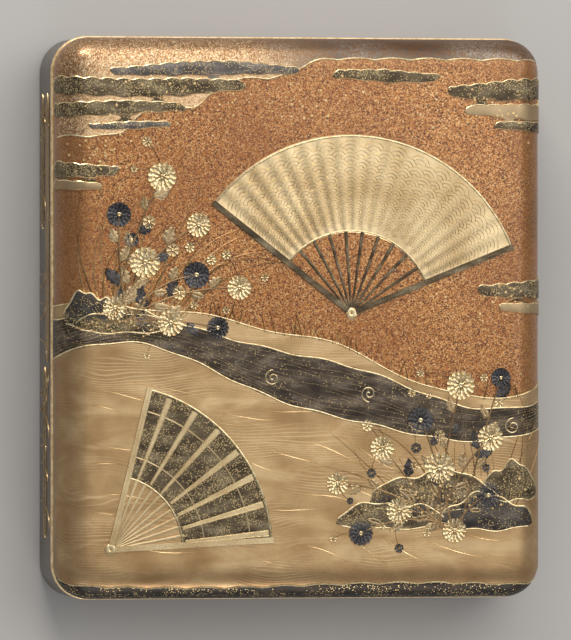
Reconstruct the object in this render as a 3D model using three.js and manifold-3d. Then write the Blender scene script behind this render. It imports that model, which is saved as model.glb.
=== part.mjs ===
// A lacquered wooden writing box with a flush lid, and the writing set that is fitted in it.
// Millimetres, +Z up. The origin is the centre of the underside, and +Y is the long way of the box.
import * as THREE from "three";
import { mergeVertices } from "three/addons/utils/BufferGeometryUtils.js";
import Module from "manifold-3d";

const wasm = await Module();
wasm.setup();

// Box: outer size over the rims, and the parting between lid and base
const BOX_WIDTH = 222;
const BOX_LENGTH = 251;
const CORNER_RADIUS = 16;
const BASE_HEIGHT = 32;
const LID_HEIGHT = 17.7;
const LID_SEAM = 0.3;

// Rims: a bead of gilt metal round the mouth of the base, and one round the edge of the lid
const RIM_HEIGHT = 1.8;
const RIM_PROUD = 0.6;
const RIM_STEPS = 2;

// Base: walls, floor, foot, and the lip that the lid slips over
const BASE_WALL = 5.2;
const LIP_THICKNESS = 2.4;
const LIP_HEIGHT = 4;
const LIP_CHAMFER = 0.5;
const BASE_FLOOR = 3.2;
const FOOT_RECESS = 0.8;
const FOOT_WIDTH = 7;
const FOOT_ROUND = 2.5;
const FOOT_STEPS = 4;

// Lid: thickness of its roof, the rounded shoulder, and its fit round the lip
const LID_ROOF = 4;
const SHOULDER_RADIUS = 13;
const LID_FIT = 0.3;

// Metal inlays on the lid. The shares are those of the radius and the thickness, from the edge inwards.
const INLAY_THICKNESS = 0.9;
const INLAY_PETALS = 10;
const INLAY_STEPS_PER_PETAL = 2;
const INLAY_NOTCH = 0.86;
const INLAY_SHARES = [
  [1, 0],
  [1, 0.4],
  [0.8, 1],
  [0.32, 0.6],
  [0.2, 1],
];

// Trays on both sides, and the board between them
const TRAY_HEIGHT = 20;
const TRAY_WALL = 2.5;
const TRAY_FLOOR = 2.5;
const TRAY_EASE = 0.5;
const TRAY_GAP = 0.7;
const SEAT_GAP = 0.3;
const BOARD_THICKNESS = 9;
const BOARD_CHAMFER = 0.6;
const BOARD_MARGIN = 7.5;
const BOARD_END = 9;
const POCKET_DEPTH = 6.5;
const POCKET_FIT = 0.4;

// Inkstone
const STONE_WIDTH = 76;
const STONE_LENGTH = 136;
const STONE_HEIGHT = 16;
const STONE_CORNER = 6;
const STONE_CHAMFER = 0.8;
const STONE_RIM = 5;
const GRINDING_DEPTH = 2.2;
const WELL_DEPTH = 10;
const WELL_LENGTH = 30;
const WELL_SLOPE = 16;
const WELL_END_SLOPE = 3.2;

// Water dropper: a hollow vessel shaped as an open flower. The shares are those of the radius and the height,
// from the foot up, and the pouring hole's place is a share of the radius.
const DROPPER_DIAMETER = 46;
const DROPPER_HEIGHT = 16;
const DROPPER_WALL = 1.4;
const DROPPER_LOBES = 12;
const DROPPER_STEPS_PER_LOBE = 3;
const DROPPER_NOTCH = 0.93;
const DROPPER_SHARES = [
  [0.8, 0],
  [1, 0.35],
  [1, 0.6],
  [0.72, 1],
];
const DROPPER_HOLE = 3;
const POURING_HOLE_PLACE = 0.6;

// Rests across the right tray, which hold the tools clear of its floor
const REST_HEIGHT = 8;
const REST_DEPTH = 7;
const REST_CORNER = 1;
const REST_CHAMFER = 0.4;
const REST_FROM_FRONT = 45;
const REST_FROM_TIPS = 57;
const REST_FIT = 0.3;

// Tools in the right tray: side by side, with their butts at the front and room behind to draw off a cap
const TOOL_COUNT = 4;
const TOOL_FRONT_GAP = 8;
const TOOL_BACK_ROOM = 46;
const SOCKET_FIT = 0.3;
const SLOT_CORNER = 0.4;

// Brushes. The hair's shares are those of its radius and its length, from the root to the tip.
const BRUSH_DIAMETER = 8.4;
const BRUSH_BUTT_CHAMFER = 0.8;
const BAMBOO_SWELL = 0.35;
const BAMBOO_SWELL_REACH = 1.5;
const BAMBOO_JOINTS_FROM_BUTT = [62, 104];
const SPIGOT_DIAMETER = 6.6;
const SPIGOT_LENGTH = 14;
const HAIR_ROOT_DIAMETER = 4.6;
const HAIR_ROOT_LENGTH = 8;
const HAIR_DIAMETER = 5.8;
const HAIR_LENGTH = 26;
const CAP_DIAMETER = 9;
const CAP_MOUTH_CHAMFER = 0.5;
const CAP_END_CHAMFER = 1.2;
const CAP_END = 4;
const CAP_FREE = 6;
const HAIR_SHARES = [
  [1, 0.3],
  [0.95, 0.5],
  [0.55, 0.8],
  [0, 1],
];

// Paper knife
const KNIFE_WIDTH = 9;
const KNIFE_HEIGHT = 7;
const KNIFE_CORNER = 2.8;
const KNIFE_CHAMFER = 0.8;
const KNIFE_COLLAR_CHAMFER = 0.4;
const KNIFE_COLLAR_LENGTH = 6;
const BLADE_LENGTH = 62;
const BLADE_WIDTH = 7;
const BLADE_THICKNESS = 1.4;
const BLADE_POINT_LENGTH = 16;
const BLADE_POINT_WIDTH = 1;
const TANG_WIDTH = 4;
const TANG_LENGTH = 24;

// Awl
const AWL_DIAMETER = 8;
const AWL_BUTT_CHAMFER = 1.2;
const AWL_COLLAR_LENGTH = 5;
const AWL_COLLAR_BAND = 1;
const AWL_COLLAR_TAPER = 0.7;
const SPIKE_DIAMETER = 2.8;
const SPIKE_LENGTH = 58;
const SPIKE_TANG = 20;
const SPIKE_POINT_LENGTH = 23.2;
const SPIKE_POINT_TAPER = 0.75;
const SPIKE_STEPS = 14;

// Ink stick, and the holder that grips a short one
const STICK_WIDTH = 21;
const STICK_LENGTH = 90;
const STICK_HEIGHT = 9;
const STICK_CORNER = 2;
const STICK_CHAMFER = 0.6;
const STICK_PANEL_CORNER = 1.5;
const STICK_PANEL_BORDER = 2.5;
const STICK_PANEL_DEPTH = 0.5;
const ARM_LENGTH = 128;
const ARM_WIDTH = 4.6;
const ARM_HEIGHT = 7;
const ARM_SPLIT = 0.6;
const JAW_LENGTH = 14;
const JAW_TAPER = 1.2;
const JAW_GRIP_LENGTH = 10;
const JAW_GRIP_DEPTH = 1.6;
const BAND_THICKNESS = 1.4;
const BAND_CORNER = 1.6;
const BAND_LENGTH = 6;
const BAND_FIT = 0.3;
const TAIL_INSET = 8;
const RING_FROM_JAW = 22;

// Facets, the spare length of a cutting tool past a face, and how near two corners are joined into one
const CORNER_STEPS = 6;
const SHOULDER_STEPS = 7;
const ROUND_STEPS = 20;
const POCKET_STEPS = 36;
const HOLE_STEPS = 12;
const CUT_SPARE = 1;
const WELD = 1e-4;

// Blossom inlays on the lid: place as a share of the flat panel from its centre, and diameter
const BLOSSOMS = [
  { name: "gold_blossom_01", metal: "gold", x: -0.66, y: 0.56, diameter: 13 },
  { name: "gold_blossom_02", metal: "gold", x: -0.49, y: 0.37, diameter: 11 },
  { name: "gold_blossom_03", metal: "gold", x: -0.74, y: 0.22, diameter: 14 },
  { name: "gold_blossom_04", metal: "gold", x: -0.88, y: 0.04, diameter: 11 },
  { name: "gold_blossom_05", metal: "gold", x: -0.62, y: -0.02, diameter: 12 },
  { name: "gold_blossom_06", metal: "gold", x: -0.3, y: 0.12, diameter: 11 },
  { name: "gold_blossom_07", metal: "gold", x: 0.74, y: -0.27, diameter: 13 },
  { name: "gold_blossom_08", metal: "gold", x: 0.88, y: -0.48, diameter: 12 },
  { name: "gold_blossom_09", metal: "gold", x: 0.37, y: -0.52, diameter: 11 },
  { name: "gold_blossom_10", metal: "gold", x: 0.64, y: -0.6, diameter: 14 },
  { name: "gold_blossom_11", metal: "gold", x: 0.45, y: -0.77, diameter: 12 },
  { name: "gold_blossom_12", metal: "gold", x: 0.16, y: -0.66, diameter: 10 },
  { name: "gold_blossom_13", metal: "gold", x: 0.71, y: -0.85, diameter: 11 },
  { name: "silver_blossom_01", metal: "silver", x: -0.86, y: 0.41, diameter: 11 },
  { name: "silver_blossom_02", metal: "silver", x: -0.5, y: 0.17, diameter: 12 },
  { name: "silver_blossom_03", metal: "silver", x: -0.4, y: -0.04, diameter: 10 },
  { name: "silver_blossom_04", metal: "silver", x: 0.55, y: -0.41, diameter: 12 },
  { name: "silver_blossom_05", metal: "silver", x: 0.87, y: -0.71, diameter: 11 },
  { name: "silver_blossom_06", metal: "silver", x: 0.27, y: -0.86, diameter: 11 },
  { name: "silver_blossom_07", metal: "silver", x: 0.93, y: -0.24, diameter: 9 },
];

// Raised lacquer on the lid: how far each form stands up, the gap left round each metal blossom, and facets
const MIST_RAISE = 0.44;
const ROCK_RAISE = 0.42;
const RIB_RAISE = 0.5;
const LEAF_RAISE = 0.46;
const GUARD_RAISE = 0.72;
const PIVOT_RAISE = 0.84;
const BLOSSOM_FIT = 0.1;
const BAR_END_STEPS = 4;
const FAN_STEPS = 12;
const ROCK_STEPS = 14;

// Every other size of the raised forms is a share of the flat panel's half width.
// Mist: each group's bands from the lowest up, with both ends and the middle line as shares of the flat panel,
// and half the height. An end past 1 runs down over the lid's side. A neck joins a band to the one below it.
const MISTS = {
  top_left_mist: [
    { from: -1, to: -0.62, y: 0.765, half: 0.02 },
    { from: -1.2, to: -0.55, y: 0.83, half: 0.029, neck: -0.83 },
    { from: -1.2, to: -0.27, y: 0.92, half: 0.037, neck: -0.68 },
    { from: -0.9, to: -0.02, y: 0.985, half: 0.027, neck: -0.42 },
  ],
  left_mist: [
    { from: -1.2, to: -0.94, y: 0.52, half: 0.024 },
    { from: -1.2, to: -0.86, y: 0.59, half: 0.035, neck: -1 },
  ],
  top_middle_mist: [{ from: 0.14, to: 0.64, y: 0.965, half: 0.029 }],
  top_right_mist: [
    { from: 0.9, to: 1.2, y: 0.765, half: 0.025 },
    { from: 0.76, to: 1.2, y: 0.825, half: 0.033, neck: 0.97 },
    { from: 0.68, to: 1.2, y: 0.91, half: 0.043, neck: 0.84 },
  ],
  right_mist: [
    { from: 0.92, to: 1.2, y: 0.045, half: 0.027 },
    { from: 0.82, to: 1.2, y: 0.116, half: 0.039, neck: 1.01 },
  ],
};
const MIST_NECK = 0.025;
const MIST_NECK_STEPS = 6;

// Folding fans: the pivot as shares of the flat panel, the leaf's radii, and the angles that it spans
const FAN_RIBS = 11;
const FAN_RIB_FOOT = { reach: 0.031, half: 0.0046 };
const FAN_RIB_TOP = { overlap: 0.02, half: 0.0092 };
const FAN_GUARD = { reach: 0.02, half: 0.0144 };
const FAN_PIVOT = 0.03;
const GREAT_FAN = { x: 0.226, y: 0.018, inner: 0.37, outer: 0.821, from: 22, to: 142 };
const STRIPED_FAN = { x: -0.9, y: -0.92, inner: 0.329, outer: 0.76, from: 3, to: 76 };

// Rocks: the middle as shares of the flat panel, half the width, the height, and the phase of the outline,
// whose waves are given as a share of the height and a count
const ROCK_FOOT = 0.28;
const ROCK_FOOT_WAVE = { share: 0.2, count: 7 };
const ROCK_TOP_WAVE = { share: 0.14, count: 5 };
const ROCK_FINE_WAVE = { share: 0.08, count: 11 };
const LEFT_ROCKS = [
  { x: -1, y: -0.01, half: 0.123, tall: 0.123, phase: 3.3 },
  { x: -0.84, y: -0.04, half: 0.226, tall: 0.087, phase: 1.4 },
];
const RIGHT_ROCKS = [
  { x: 0.98, y: -0.7, half: 0.14, tall: 0.13, phase: 1 },
  { x: 0.62, y: -0.74, half: 0.308, tall: 0.144, phase: 0.6 },
  { x: 0.86, y: -0.82, half: 0.226, tall: 0.123, phase: 2.1 },
  { x: 0.41, y: -0.82, half: 0.257, tall: 0.092, phase: 4 },
];

// Sizes that follow from the ones above
const halfWidth = BOX_WIDTH / 2;
const halfLength = BOX_LENGTH / 2;
const wallFace = RIM_PROUD;
const lipFace = RIM_PROUD + BASE_WALL - LIP_THICKNESS;
const insideFace = RIM_PROUD + BASE_WALL;
const lidWall = BASE_WALL - LIP_THICKNESS - LID_FIT;
const lidInside = RIM_PROUD + lidWall;
const baseRimZ = BASE_HEIGHT - RIM_HEIGHT;
const lidRimZ = BASE_HEIGHT + LID_SEAM;
const lidEdgeZ = lidRimZ + RIM_HEIGHT;
const lidTopZ = lidRimZ + LID_HEIGHT;
const floorZ = FOOT_RECESS + BASE_FLOOR;
const flatHalfWidth = halfWidth - wallFace - SHOULDER_RADIUS;
const flatHalfLength = halfLength - wallFace - SHOULDER_RADIUS;
const insideHalfWidth = halfWidth - insideFace;
const insideHalfLength = halfLength - insideFace;
const boardWidth = STONE_WIDTH + 2 * BOARD_MARGIN;
const boardHalfLength = insideHalfLength - TRAY_GAP;
const trayWidth = insideHalfWidth - boardWidth / 2 - 2 * TRAY_GAP;
const trayHalfLength = insideHalfLength - TRAY_GAP;
const trayCentre = boardWidth / 2 + TRAY_GAP + trayWidth / 2;
const trayRadius = CORNER_RADIUS - insideFace - TRAY_GAP;
const trayZ = floorZ + SEAT_GAP;
const trayFloorZ = trayZ + TRAY_FLOOR;
const trayInsideHalfWidth = trayWidth / 2 - TRAY_WALL;
const trayInsideHalfLength = trayHalfLength - TRAY_WALL;
const pocketZ = trayZ + BOARD_THICKNESS - POCKET_DEPTH;
const toolZ = trayFloorZ + REST_HEIGHT;
const toolFrontY = -trayInsideHalfLength + TOOL_FRONT_GAP;
const toolLength = 2 * trayInsideHalfLength - TOOL_FRONT_GAP - TOOL_BACK_ROOM;
const toolPitch = (2 * trayInsideHalfWidth) / TOOL_COUNT;
const bandWidth = 2 * (ARM_WIDTH + BAND_FIT + BAND_THICKNESS) + ARM_SPLIT;
const restWidth = 2 * (trayInsideHalfWidth - REST_FIT);
const frontRestY = REST_FROM_FRONT - trayInsideHalfLength;
const backRestY = toolFrontY + toolLength - REST_FROM_TIPS;

// Finishes
const finish = (color, roughness, metalness) =>
  new THREE.MeshStandardMaterial({ color, roughness, metalness });
const nashiji = finish(0xb87a45, 0.35, 0.3);
const giltRim = finish(0xc9a063, 0.3, 0.8);
const goldInlay = finish(0xd2b878, 0.3, 0.9);
const silverInlay = finish(0x4a4f5c, 0.35, 0.9);
const goldPowder = finish(0xc9b492, 0.4, 0.7);
const silverPowder = finish(0x6b6259, 0.45, 0.7);
const slate = finish(0x26282b, 0.6, 0);
const agedBronze = finish(0x6d5638, 0.35, 0.9);
const blackLacquer = finish(0x15110f, 0.15, 0);
const bamboo = finish(0xc19a5b, 0.5, 0);
const hair = finish(0xe6dcc8, 0.8, 0);
const steel = finish(0xa9adb0, 0.25, 1);
const inkBlack = finish(0x1b1a1c, 0.45, 0);

// One named mesh; place is where its own origin goes.
function piece(name, geometry, material, [x, y, z] = [0, 0, 0]) {
  const mesh = new THREE.Mesh(geometry, material);
  mesh.name = name;
  mesh.position.set(x, y, z);
  return mesh;
}

// A geometry as a manifold solid, and back.
function solidOf(geometry) {
  const bare = geometry.clone().deleteAttribute("normal").deleteAttribute("uv");
  const merged = mergeVertices(bare, WELD);
  return new wasm.Manifold(
    new wasm.Mesh({
      numProp: 3,
      vertProperties: merged.attributes.position.array,
      triVerts: new Uint32Array(merged.index.array),
    }),
  );
}

function geometryOf(solid) {
  const mesh = solid.getMesh();
  const geometry = new THREE.BufferGeometry();
  geometry.setAttribute("position", new THREE.BufferAttribute(new Float32Array(mesh.vertProperties), 3));
  geometry.setIndex(new THREE.BufferAttribute(new Uint32Array(mesh.triVerts), 1));
  geometry.computeVertexNormals();
  return geometry;
}

// A body with others cut from it.
function cut(body, ...tools) {
  return geometryOf(tools.reduce((left, tool) => left.subtract(solidOf(tool)), solidOf(body)));
}

// A closed ring of points at one height: a rectangle with round corners, anticlockwise from above.
function roundedRing(halfX, halfY, radius, z) {
  const corners = [
    [1, 1, 0],
    [-1, 1, 1],
    [-1, -1, 2],
    [1, -1, 3],
  ];
  return corners.flatMap(([sx, sy, quarter]) =>
    Array.from({ length: CORNER_STEPS + 1 }, (_, i) => {
      const angle = ((quarter + i / CORNER_STEPS) * Math.PI) / 2;
      const x = sx * (halfX - radius) + radius * Math.cos(angle);
      const y = sy * (halfY - radius) + radius * Math.sin(angle);
      return [x, y, z];
    }),
  );
}

// The plan of the box drawn in by a distance, at one height.
const boxRing = (inset, z) => roundedRing(halfWidth - inset, halfLength - inset, CORNER_RADIUS - inset, z);

// A ring that swells and dips round a circle, as petals do.
function petalRing(radius, petals, notch, z, stepsPerPetal) {
  const count = petals * stepsPerPetal;
  return Array.from({ length: count }, (_, i) => {
    const angle = (i / count) * 2 * Math.PI;
    const dip = 1 - Math.abs(Math.cos((angle * petals) / 2));
    const r = radius * (1 - (1 - notch) * dip);
    return [r * Math.cos(angle), r * Math.sin(angle), z];
  });
}

// A closed skin through rings of equal count. The first ring is capped facing down and the last facing up,
// or the last is joined to the first where the rings go round a hoop's section.
function loft(rings, hoop = false) {
  const count = rings[0].length;
  const points = rings.flat();
  const faces = [];
  const joins = hoop ? rings.length : rings.length - 1;
  for (let k = 0; k < joins; k++) {
    const low = k * count;
    const high = ((k + 1) % rings.length) * count;
    for (let i = 0; i < count; i++) {
      const next = (i + 1) % count;
      faces.push(low + i, low + next, high + next, low + i, high + next, high + i);
    }
  }
  const cap = (start, up) => {
    const middle = points.length;
    const ring = points.slice(start, start + count);
    points.push([0, 1, 2].map((axis) => ring.reduce((sum, p) => sum + p[axis], 0) / count));
    for (let i = 0; i < count; i++) {
      const next = (i + 1) % count;
      faces.push(middle, start + (up ? i : next), start + (up ? next : i));
    }
  };
  if (!hoop) {
    cap(0, false);
    cap((rings.length - 1) * count, true);
  }
  const geometry = new THREE.BufferGeometry();
  geometry.setAttribute("position", new THREE.Float32BufferAttribute(points.flat(), 3));
  geometry.setIndex(faces);
  geometry.computeVertexNormals();
  return geometry;
}

// A solid block with round corners in plan, its middle on the Z axis.
function block(width, length, radius, z0, z1, chamfer = 0) {
  const ring = (inset, z) => roundedRing(width / 2 - inset, length / 2 - inset, radius - inset, z);
  if (!chamfer) return loft([ring(0, z0), ring(0, z1)]);
  return loft([ring(chamfer, z0), ring(0, z0 + chamfer), ring(0, z1 - chamfer), ring(chamfer, z1)]);
}

// A turned piece along +Y. A point of the profile is [radius, y], from the axis at the low end and back to it.
const turned = (profile, steps = ROUND_STEPS) =>
  new THREE.LatheGeometry(
    profile.map(([r, y]) => new THREE.Vector2(r, y)),
    steps,
  );

// A turned cutting tool along +Y between two places, a little over long where asked.
const rod = (radius, y0, y1, steps = ROUND_STEPS) =>
  turned(
    [
      [0, y0],
      [radius, y0],
      [radius, y1],
      [0, y1],
    ],
    steps,
  );

// Steps of a quarter turn, as [sine, 1 - cosine] pairs, from 0 to 90 degrees.
const quarterTurn = (steps) =>
  Array.from({ length: steps + 1 }, (_, i) => {
    const angle = ((i / steps) * Math.PI) / 2;
    return [Math.sin(angle), 1 - Math.cos(angle)];
  });

// Rim: a hoop with a half-round outer face, as deep as the wall edge that it covers.
function rim(z) {
  const depth = RIM_PROUD + lidWall;
  const top = z + RIM_HEIGHT;
  const bead = RIM_HEIGHT / 2;
  const round = quarterTurn(RIM_STEPS);
  const below = round.map(([s, c]) => boxRing(RIM_PROUD * (1 - s), z + bead * c));
  const above = round.map(([s, c]) => boxRing(RIM_PROUD * (1 - s), top - bead * c)).reverse();
  return loft([boxRing(depth, z), ...below, ...above.slice(1), boxRing(depth, top)], true);
}

// Base: foot, rounded lower edge, wall, ledge for the rim, lip, and the inside down to the floor.
function baseShell() {
  const lipZ = BASE_HEIGHT + LIP_HEIGHT;
  const lowerEdge = quarterTurn(FOOT_STEPS).map(([s, c]) =>
    boxRing(wallFace + FOOT_ROUND * (1 - s), FOOT_ROUND * c),
  );
  return loft([
    boxRing(wallFace + FOOT_ROUND + FOOT_WIDTH, FOOT_RECESS),
    boxRing(wallFace + FOOT_ROUND + FOOT_WIDTH - FOOT_RECESS, 0),
    ...lowerEdge,
    boxRing(wallFace, baseRimZ),
    boxRing(lipFace, baseRimZ),
    boxRing(lipFace, lipZ - LIP_CHAMFER),
    boxRing(lipFace + LIP_CHAMFER, lipZ),
    boxRing(insideFace, lipZ),
    boxRing(insideFace, floorZ),
  ]);
}

// Lid: its hollow, its edge on the rim, and the rounded shoulder up to the flat top.
function lidShell() {
  const shoulderZ = lidTopZ - SHOULDER_RADIUS;
  const ceilingZ = lidTopZ - LID_ROOF;
  const hollowReach = SHOULDER_RADIUS - lidWall;
  const hollow = quarterTurn(SHOULDER_STEPS)
    .map(([s, c]) => boxRing(lidInside + hollowReach * c, shoulderZ + (ceilingZ - shoulderZ) * s))
    .reverse();
  const shoulder = quarterTurn(SHOULDER_STEPS).map(([s, c]) =>
    boxRing(wallFace + SHOULDER_RADIUS * c, shoulderZ + SHOULDER_RADIUS * s),
  );
  return loft([...hollow, boxRing(lidInside, lidEdgeZ), boxRing(wallFace, lidEdgeZ), ...shoulder]);
}

// The lid's outer form without its hollow, grown by a distance, from a height up.
function lidForm(grow, z0) {
  const radius = SHOULDER_RADIUS + grow;
  const shoulder = quarterTurn(SHOULDER_STEPS).map(([s, c]) =>
    boxRing(wallFace - grow + radius * c, lidTopZ - SHOULDER_RADIUS + radius * s),
  );
  return loft([boxRing(wallFace - grow, z0), ...shoulder]);
}

// A place on the lid's flat panel, given as shares of it from its centre.
const onPanel = (x, y) => [x * flatHalfWidth, y * flatHalfLength];

// Points of an arc round a place, between two angles in degrees.
const arc = ([x, y], radius, from, to, steps) =>
  Array.from({ length: steps + 1 }, (_, i) => {
    const angle = ((from + ((to - from) * i) / steps) * Math.PI) / 180;
    return [x + radius * Math.cos(angle), y + radius * Math.sin(angle)];
  });

// Plan of a band of mist: straight, with half-round ends.
function bandPlan(band) {
  const half = band.half * flatHalfWidth;
  const right = onPanel(band.to, band.y);
  const left = onPanel(band.from, band.y);
  return [
    ...arc([right[0] - half, right[1]], half, -90, 90, BAR_END_STEPS),
    ...arc([left[0] + half, left[1]], half, 90, 270, BAR_END_STEPS),
  ];
}

// Plan of the neck between two bands of mist: upright and waisted, from one middle line to the other.
function neckPlan(below, band) {
  const [cx, low] = onPanel(band.neck, below.y);
  const [, high] = onPanel(band.neck, band.y);
  const side = (sign) =>
    Array.from({ length: MIST_NECK_STEPS + 1 }, (_, i) => {
      const t = (2 * i) / MIST_NECK_STEPS - 1;
      return [cx + sign * MIST_NECK * flatHalfWidth * (1 + t * t), low + ((high - low) * (1 + t)) / 2];
    });
  return [...side(1), ...side(-1).reverse()];
}

const mistPlans = (bands) => [
  ...bands.map(bandPlan),
  ...bands.slice(1).map((band, i) => neckPlan(bands[i], band)),
];

// Plan of a straight bar that runs out from a fan's pivot at an angle, from one reach and half width to another.
function spokePlan({ x, y }, angle, start, end) {
  const [cx, cy] = onPanel(x, y);
  const [c, s] = [Math.cos((angle * Math.PI) / 180), Math.sin((angle * Math.PI) / 180)];
  const point = ({ reach, half }, side) => [
    cx + flatHalfWidth * (reach * c - side * half * s),
    cy + flatHalfWidth * (reach * s + side * half * c),
  ];
  return [point(start, -1), point(end, -1), point(end, 1), point(start, 1)];
}

// Plan of a fan's leaf: the part of a ring between two angles.
function leafPlan({ x, y, inner, outer, from, to }) {
  const pivot = onPanel(x, y);
  return [
    ...arc(pivot, outer * flatHalfWidth, from, to, FAN_STEPS),
    ...arc(pivot, inner * flatHalfWidth, to, from, FAN_STEPS),
  ];
}

function ribPlans(form) {
  const top = { reach: form.inner + FAN_RIB_TOP.overlap, half: FAN_RIB_TOP.half };
  return Array.from({ length: FAN_RIBS }, (_, i) => {
    const angle = form.from + ((form.to - form.from) * i) / (FAN_RIBS - 1);
    return spokePlan(form, angle, FAN_RIB_FOOT, top);
  });
}

const guardPlans = (form) =>
  [form.from, form.to].map((angle) =>
    spokePlan(form, angle, FAN_GUARD, { reach: form.outer, half: FAN_GUARD.half }),
  );

const pivotPlan = ({ x, y }) =>
  arc(onPanel(x, y), FAN_PIVOT * flatHalfWidth, 0, 360, HOLE_STEPS).slice(1);

// Plan of a rock: half an ellipse above and a flatter one below, both roughened by sines.
function rockPlan(rock) {
  const [cx, cy] = onPanel(rock.x, rock.y);
  const [half, tall] = [rock.half * flatHalfWidth, rock.tall * flatHalfWidth];
  const shares = Array.from({ length: ROCK_STEPS + 1 }, (_, i) => (2 * i) / ROCK_STEPS - 1);
  const dome = (t) => Math.sqrt(Math.max(1 - t * t, 0));
  const wave = ({ share, count }, t, turns) => share * Math.sin(count * t + turns * rock.phase);
  const foot = (t) => -ROCK_FOOT * tall * dome(t) * (1 + wave(ROCK_FOOT_WAVE, t, 3));
  const top = (t) => tall * dome(t) * (1 + wave(ROCK_TOP_WAVE, t, 1) + wave(ROCK_FINE_WAVE, t, 2));
  const low = shares.map((t) => [cx + half * t, cy + foot(t)]);
  const high = shares.map((t) => [cx + half * t, cy + top(t)]);
  return [...low, ...high.slice(1, -1).reverse()];
}

// Plans carried straight up through the lid as one solid.
function columns(plans) {
  const height = lidTopZ + INLAY_THICKNESS + CUT_SPARE;
  return wasm.Manifold.union(plans.map((plan) => wasm.Manifold.extrude([plan], height)));
}

// Raised lacquer: a skin on the lid's faces over the given plans, which leaves the blossoms their places.
// Each layer is its plans and how far it stands up. A crumb that a blossom cuts off is dropped.
function raisedLacquer(...layers) {
  const skins = layers.map(([raise, plans]) =>
    columns(plans).intersect(solidOf(lidForm(raise, lidEdgeZ))),
  );
  const seats = BLOSSOMS.map(({ x, y, diameter }) =>
    arc(onPanel(x, y), diameter / 2 + BLOSSOM_FIT, 0, 360, 2 * INLAY_PETALS).slice(1),
  );
  const whole = wasm.Manifold.union(skins)
    .subtract(solidOf(lidForm(0, lidEdgeZ - CUT_SPARE)))
    .subtract(columns(seats));
  const [largest] = whole.decompose().sort((one, other) => other.volume() - one.volume());
  return geometryOf(largest);
}

const mist = (bands) => raisedLacquer([MIST_RAISE, mistPlans(bands)]);
const rocks = (group) => raisedLacquer([ROCK_RAISE, group.map(rockPlan)]);
const fan = (form) =>
  raisedLacquer(
    [RIB_RAISE, ribPlans(form)],
    [LEAF_RAISE, [leafPlan(form)]],
    [GUARD_RAISE, guardPlans(form)],
    [PIVOT_RAISE, [pivotPlan(form)]],
  );

// Blossom inlay: a scalloped disc with a raised ring of petals and a domed heart.
function blossom(diameter) {
  const rings = INLAY_SHARES.map(([width, rise]) => {
    const radius = (diameter / 2) * width;
    return petalRing(radius, INLAY_PETALS, INLAY_NOTCH, INLAY_THICKNESS * rise, INLAY_STEPS_PER_PETAL);
  });
  return loft(rings);
}

// Tray: an open box with a flat rim, standing on the base's floor.
function tray() {
  const ring = (inset, z) => roundedRing(trayWidth / 2 - inset, trayHalfLength - inset, trayRadius - inset, z);
  const top = trayZ + TRAY_HEIGHT;
  return loft([
    ring(TRAY_EASE, trayZ),
    ring(0, trayZ + TRAY_EASE),
    ring(0, top - TRAY_EASE),
    ring(TRAY_EASE, top),
    ring(TRAY_WALL - TRAY_EASE, top),
    ring(TRAY_WALL, top - TRAY_EASE),
    ring(TRAY_WALL, trayFloorZ),
  ]);
}

// Board: a slab with a pocket for the inkstone at the front and one for the dropper at the back.
const stoneY = -boardHalfLength + BOARD_END + POCKET_FIT + STONE_LENGTH / 2;
const stoneEndY = stoneY + STONE_LENGTH / 2;
const dropperY = (stoneEndY + boardHalfLength) / 2;
function board() {
  const top = trayZ + BOARD_THICKNESS;
  const slab = block(boardWidth, 2 * boardHalfLength, trayRadius, trayZ, top, BOARD_CHAMFER);
  const stonePocket = block(
    STONE_WIDTH + 2 * POCKET_FIT,
    STONE_LENGTH + 2 * POCKET_FIT,
    STONE_CORNER + POCKET_FIT,
    pocketZ,
    top + CUT_SPARE,
  ).translate(0, stoneY, 0);
  const round = rod(DROPPER_DIAMETER / 2 + POCKET_FIT, pocketZ, top + CUT_SPARE, POCKET_STEPS)
    .rotateX(Math.PI / 2)
    .translate(0, dropperY, 0);
  return cut(slab, stonePocket, round);
}

// Inkstone: a block with a grinding flat inside a rim, and a slope down to the ink well at its far end.
function inkstone() {
  const body = block(STONE_WIDTH, STONE_LENGTH, STONE_CORNER, 0, STONE_HEIGHT, STONE_CHAMFER);
  const insideWidth = STONE_WIDTH - 2 * STONE_RIM;
  const insideLength = STONE_LENGTH - 2 * STONE_RIM;
  const flatZ = STONE_HEIGHT - GRINDING_DEPTH;
  const flat = block(insideWidth, insideLength, STONE_CORNER, flatZ, STONE_HEIGHT + CUT_SPARE);
  const wellEnd = insideLength / 2;
  const wellZ = STONE_HEIGHT - WELL_DEPTH;
  const section = new THREE.Shape([
    new THREE.Vector2(wellEnd - WELL_LENGTH - WELL_SLOPE, flatZ),
    new THREE.Vector2(wellEnd - WELL_LENGTH, wellZ),
    new THREE.Vector2(wellEnd - WELL_END_SLOPE, wellZ),
    new THREE.Vector2(wellEnd, flatZ),
    new THREE.Vector2(wellEnd, STONE_HEIGHT),
    new THREE.Vector2(wellEnd - WELL_LENGTH - WELL_SLOPE, STONE_HEIGHT),
  ]);
  const well = new THREE.ExtrudeGeometry(section, { depth: insideWidth, bevelEnabled: false });
  // the section is drawn in Y and Z and swept along X
  well.applyMatrix4(
    new THREE.Matrix4().makeBasis(
      new THREE.Vector3(0, 1, 0),
      new THREE.Vector3(0, 0, 1),
      new THREE.Vector3(1, 0, 0),
    ),
  );
  well.translate(-insideWidth / 2, 0, 0);
  const roomZ = wellZ - CUT_SPARE;
  const room = block(insideWidth, insideLength, STONE_CORNER, roomZ, STONE_HEIGHT + CUT_SPARE);
  const rounded = solidOf(well).intersect(solidOf(room));
  return geometryOf(solidOf(body).subtract(solidOf(flat)).subtract(rounded));
}

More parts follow.
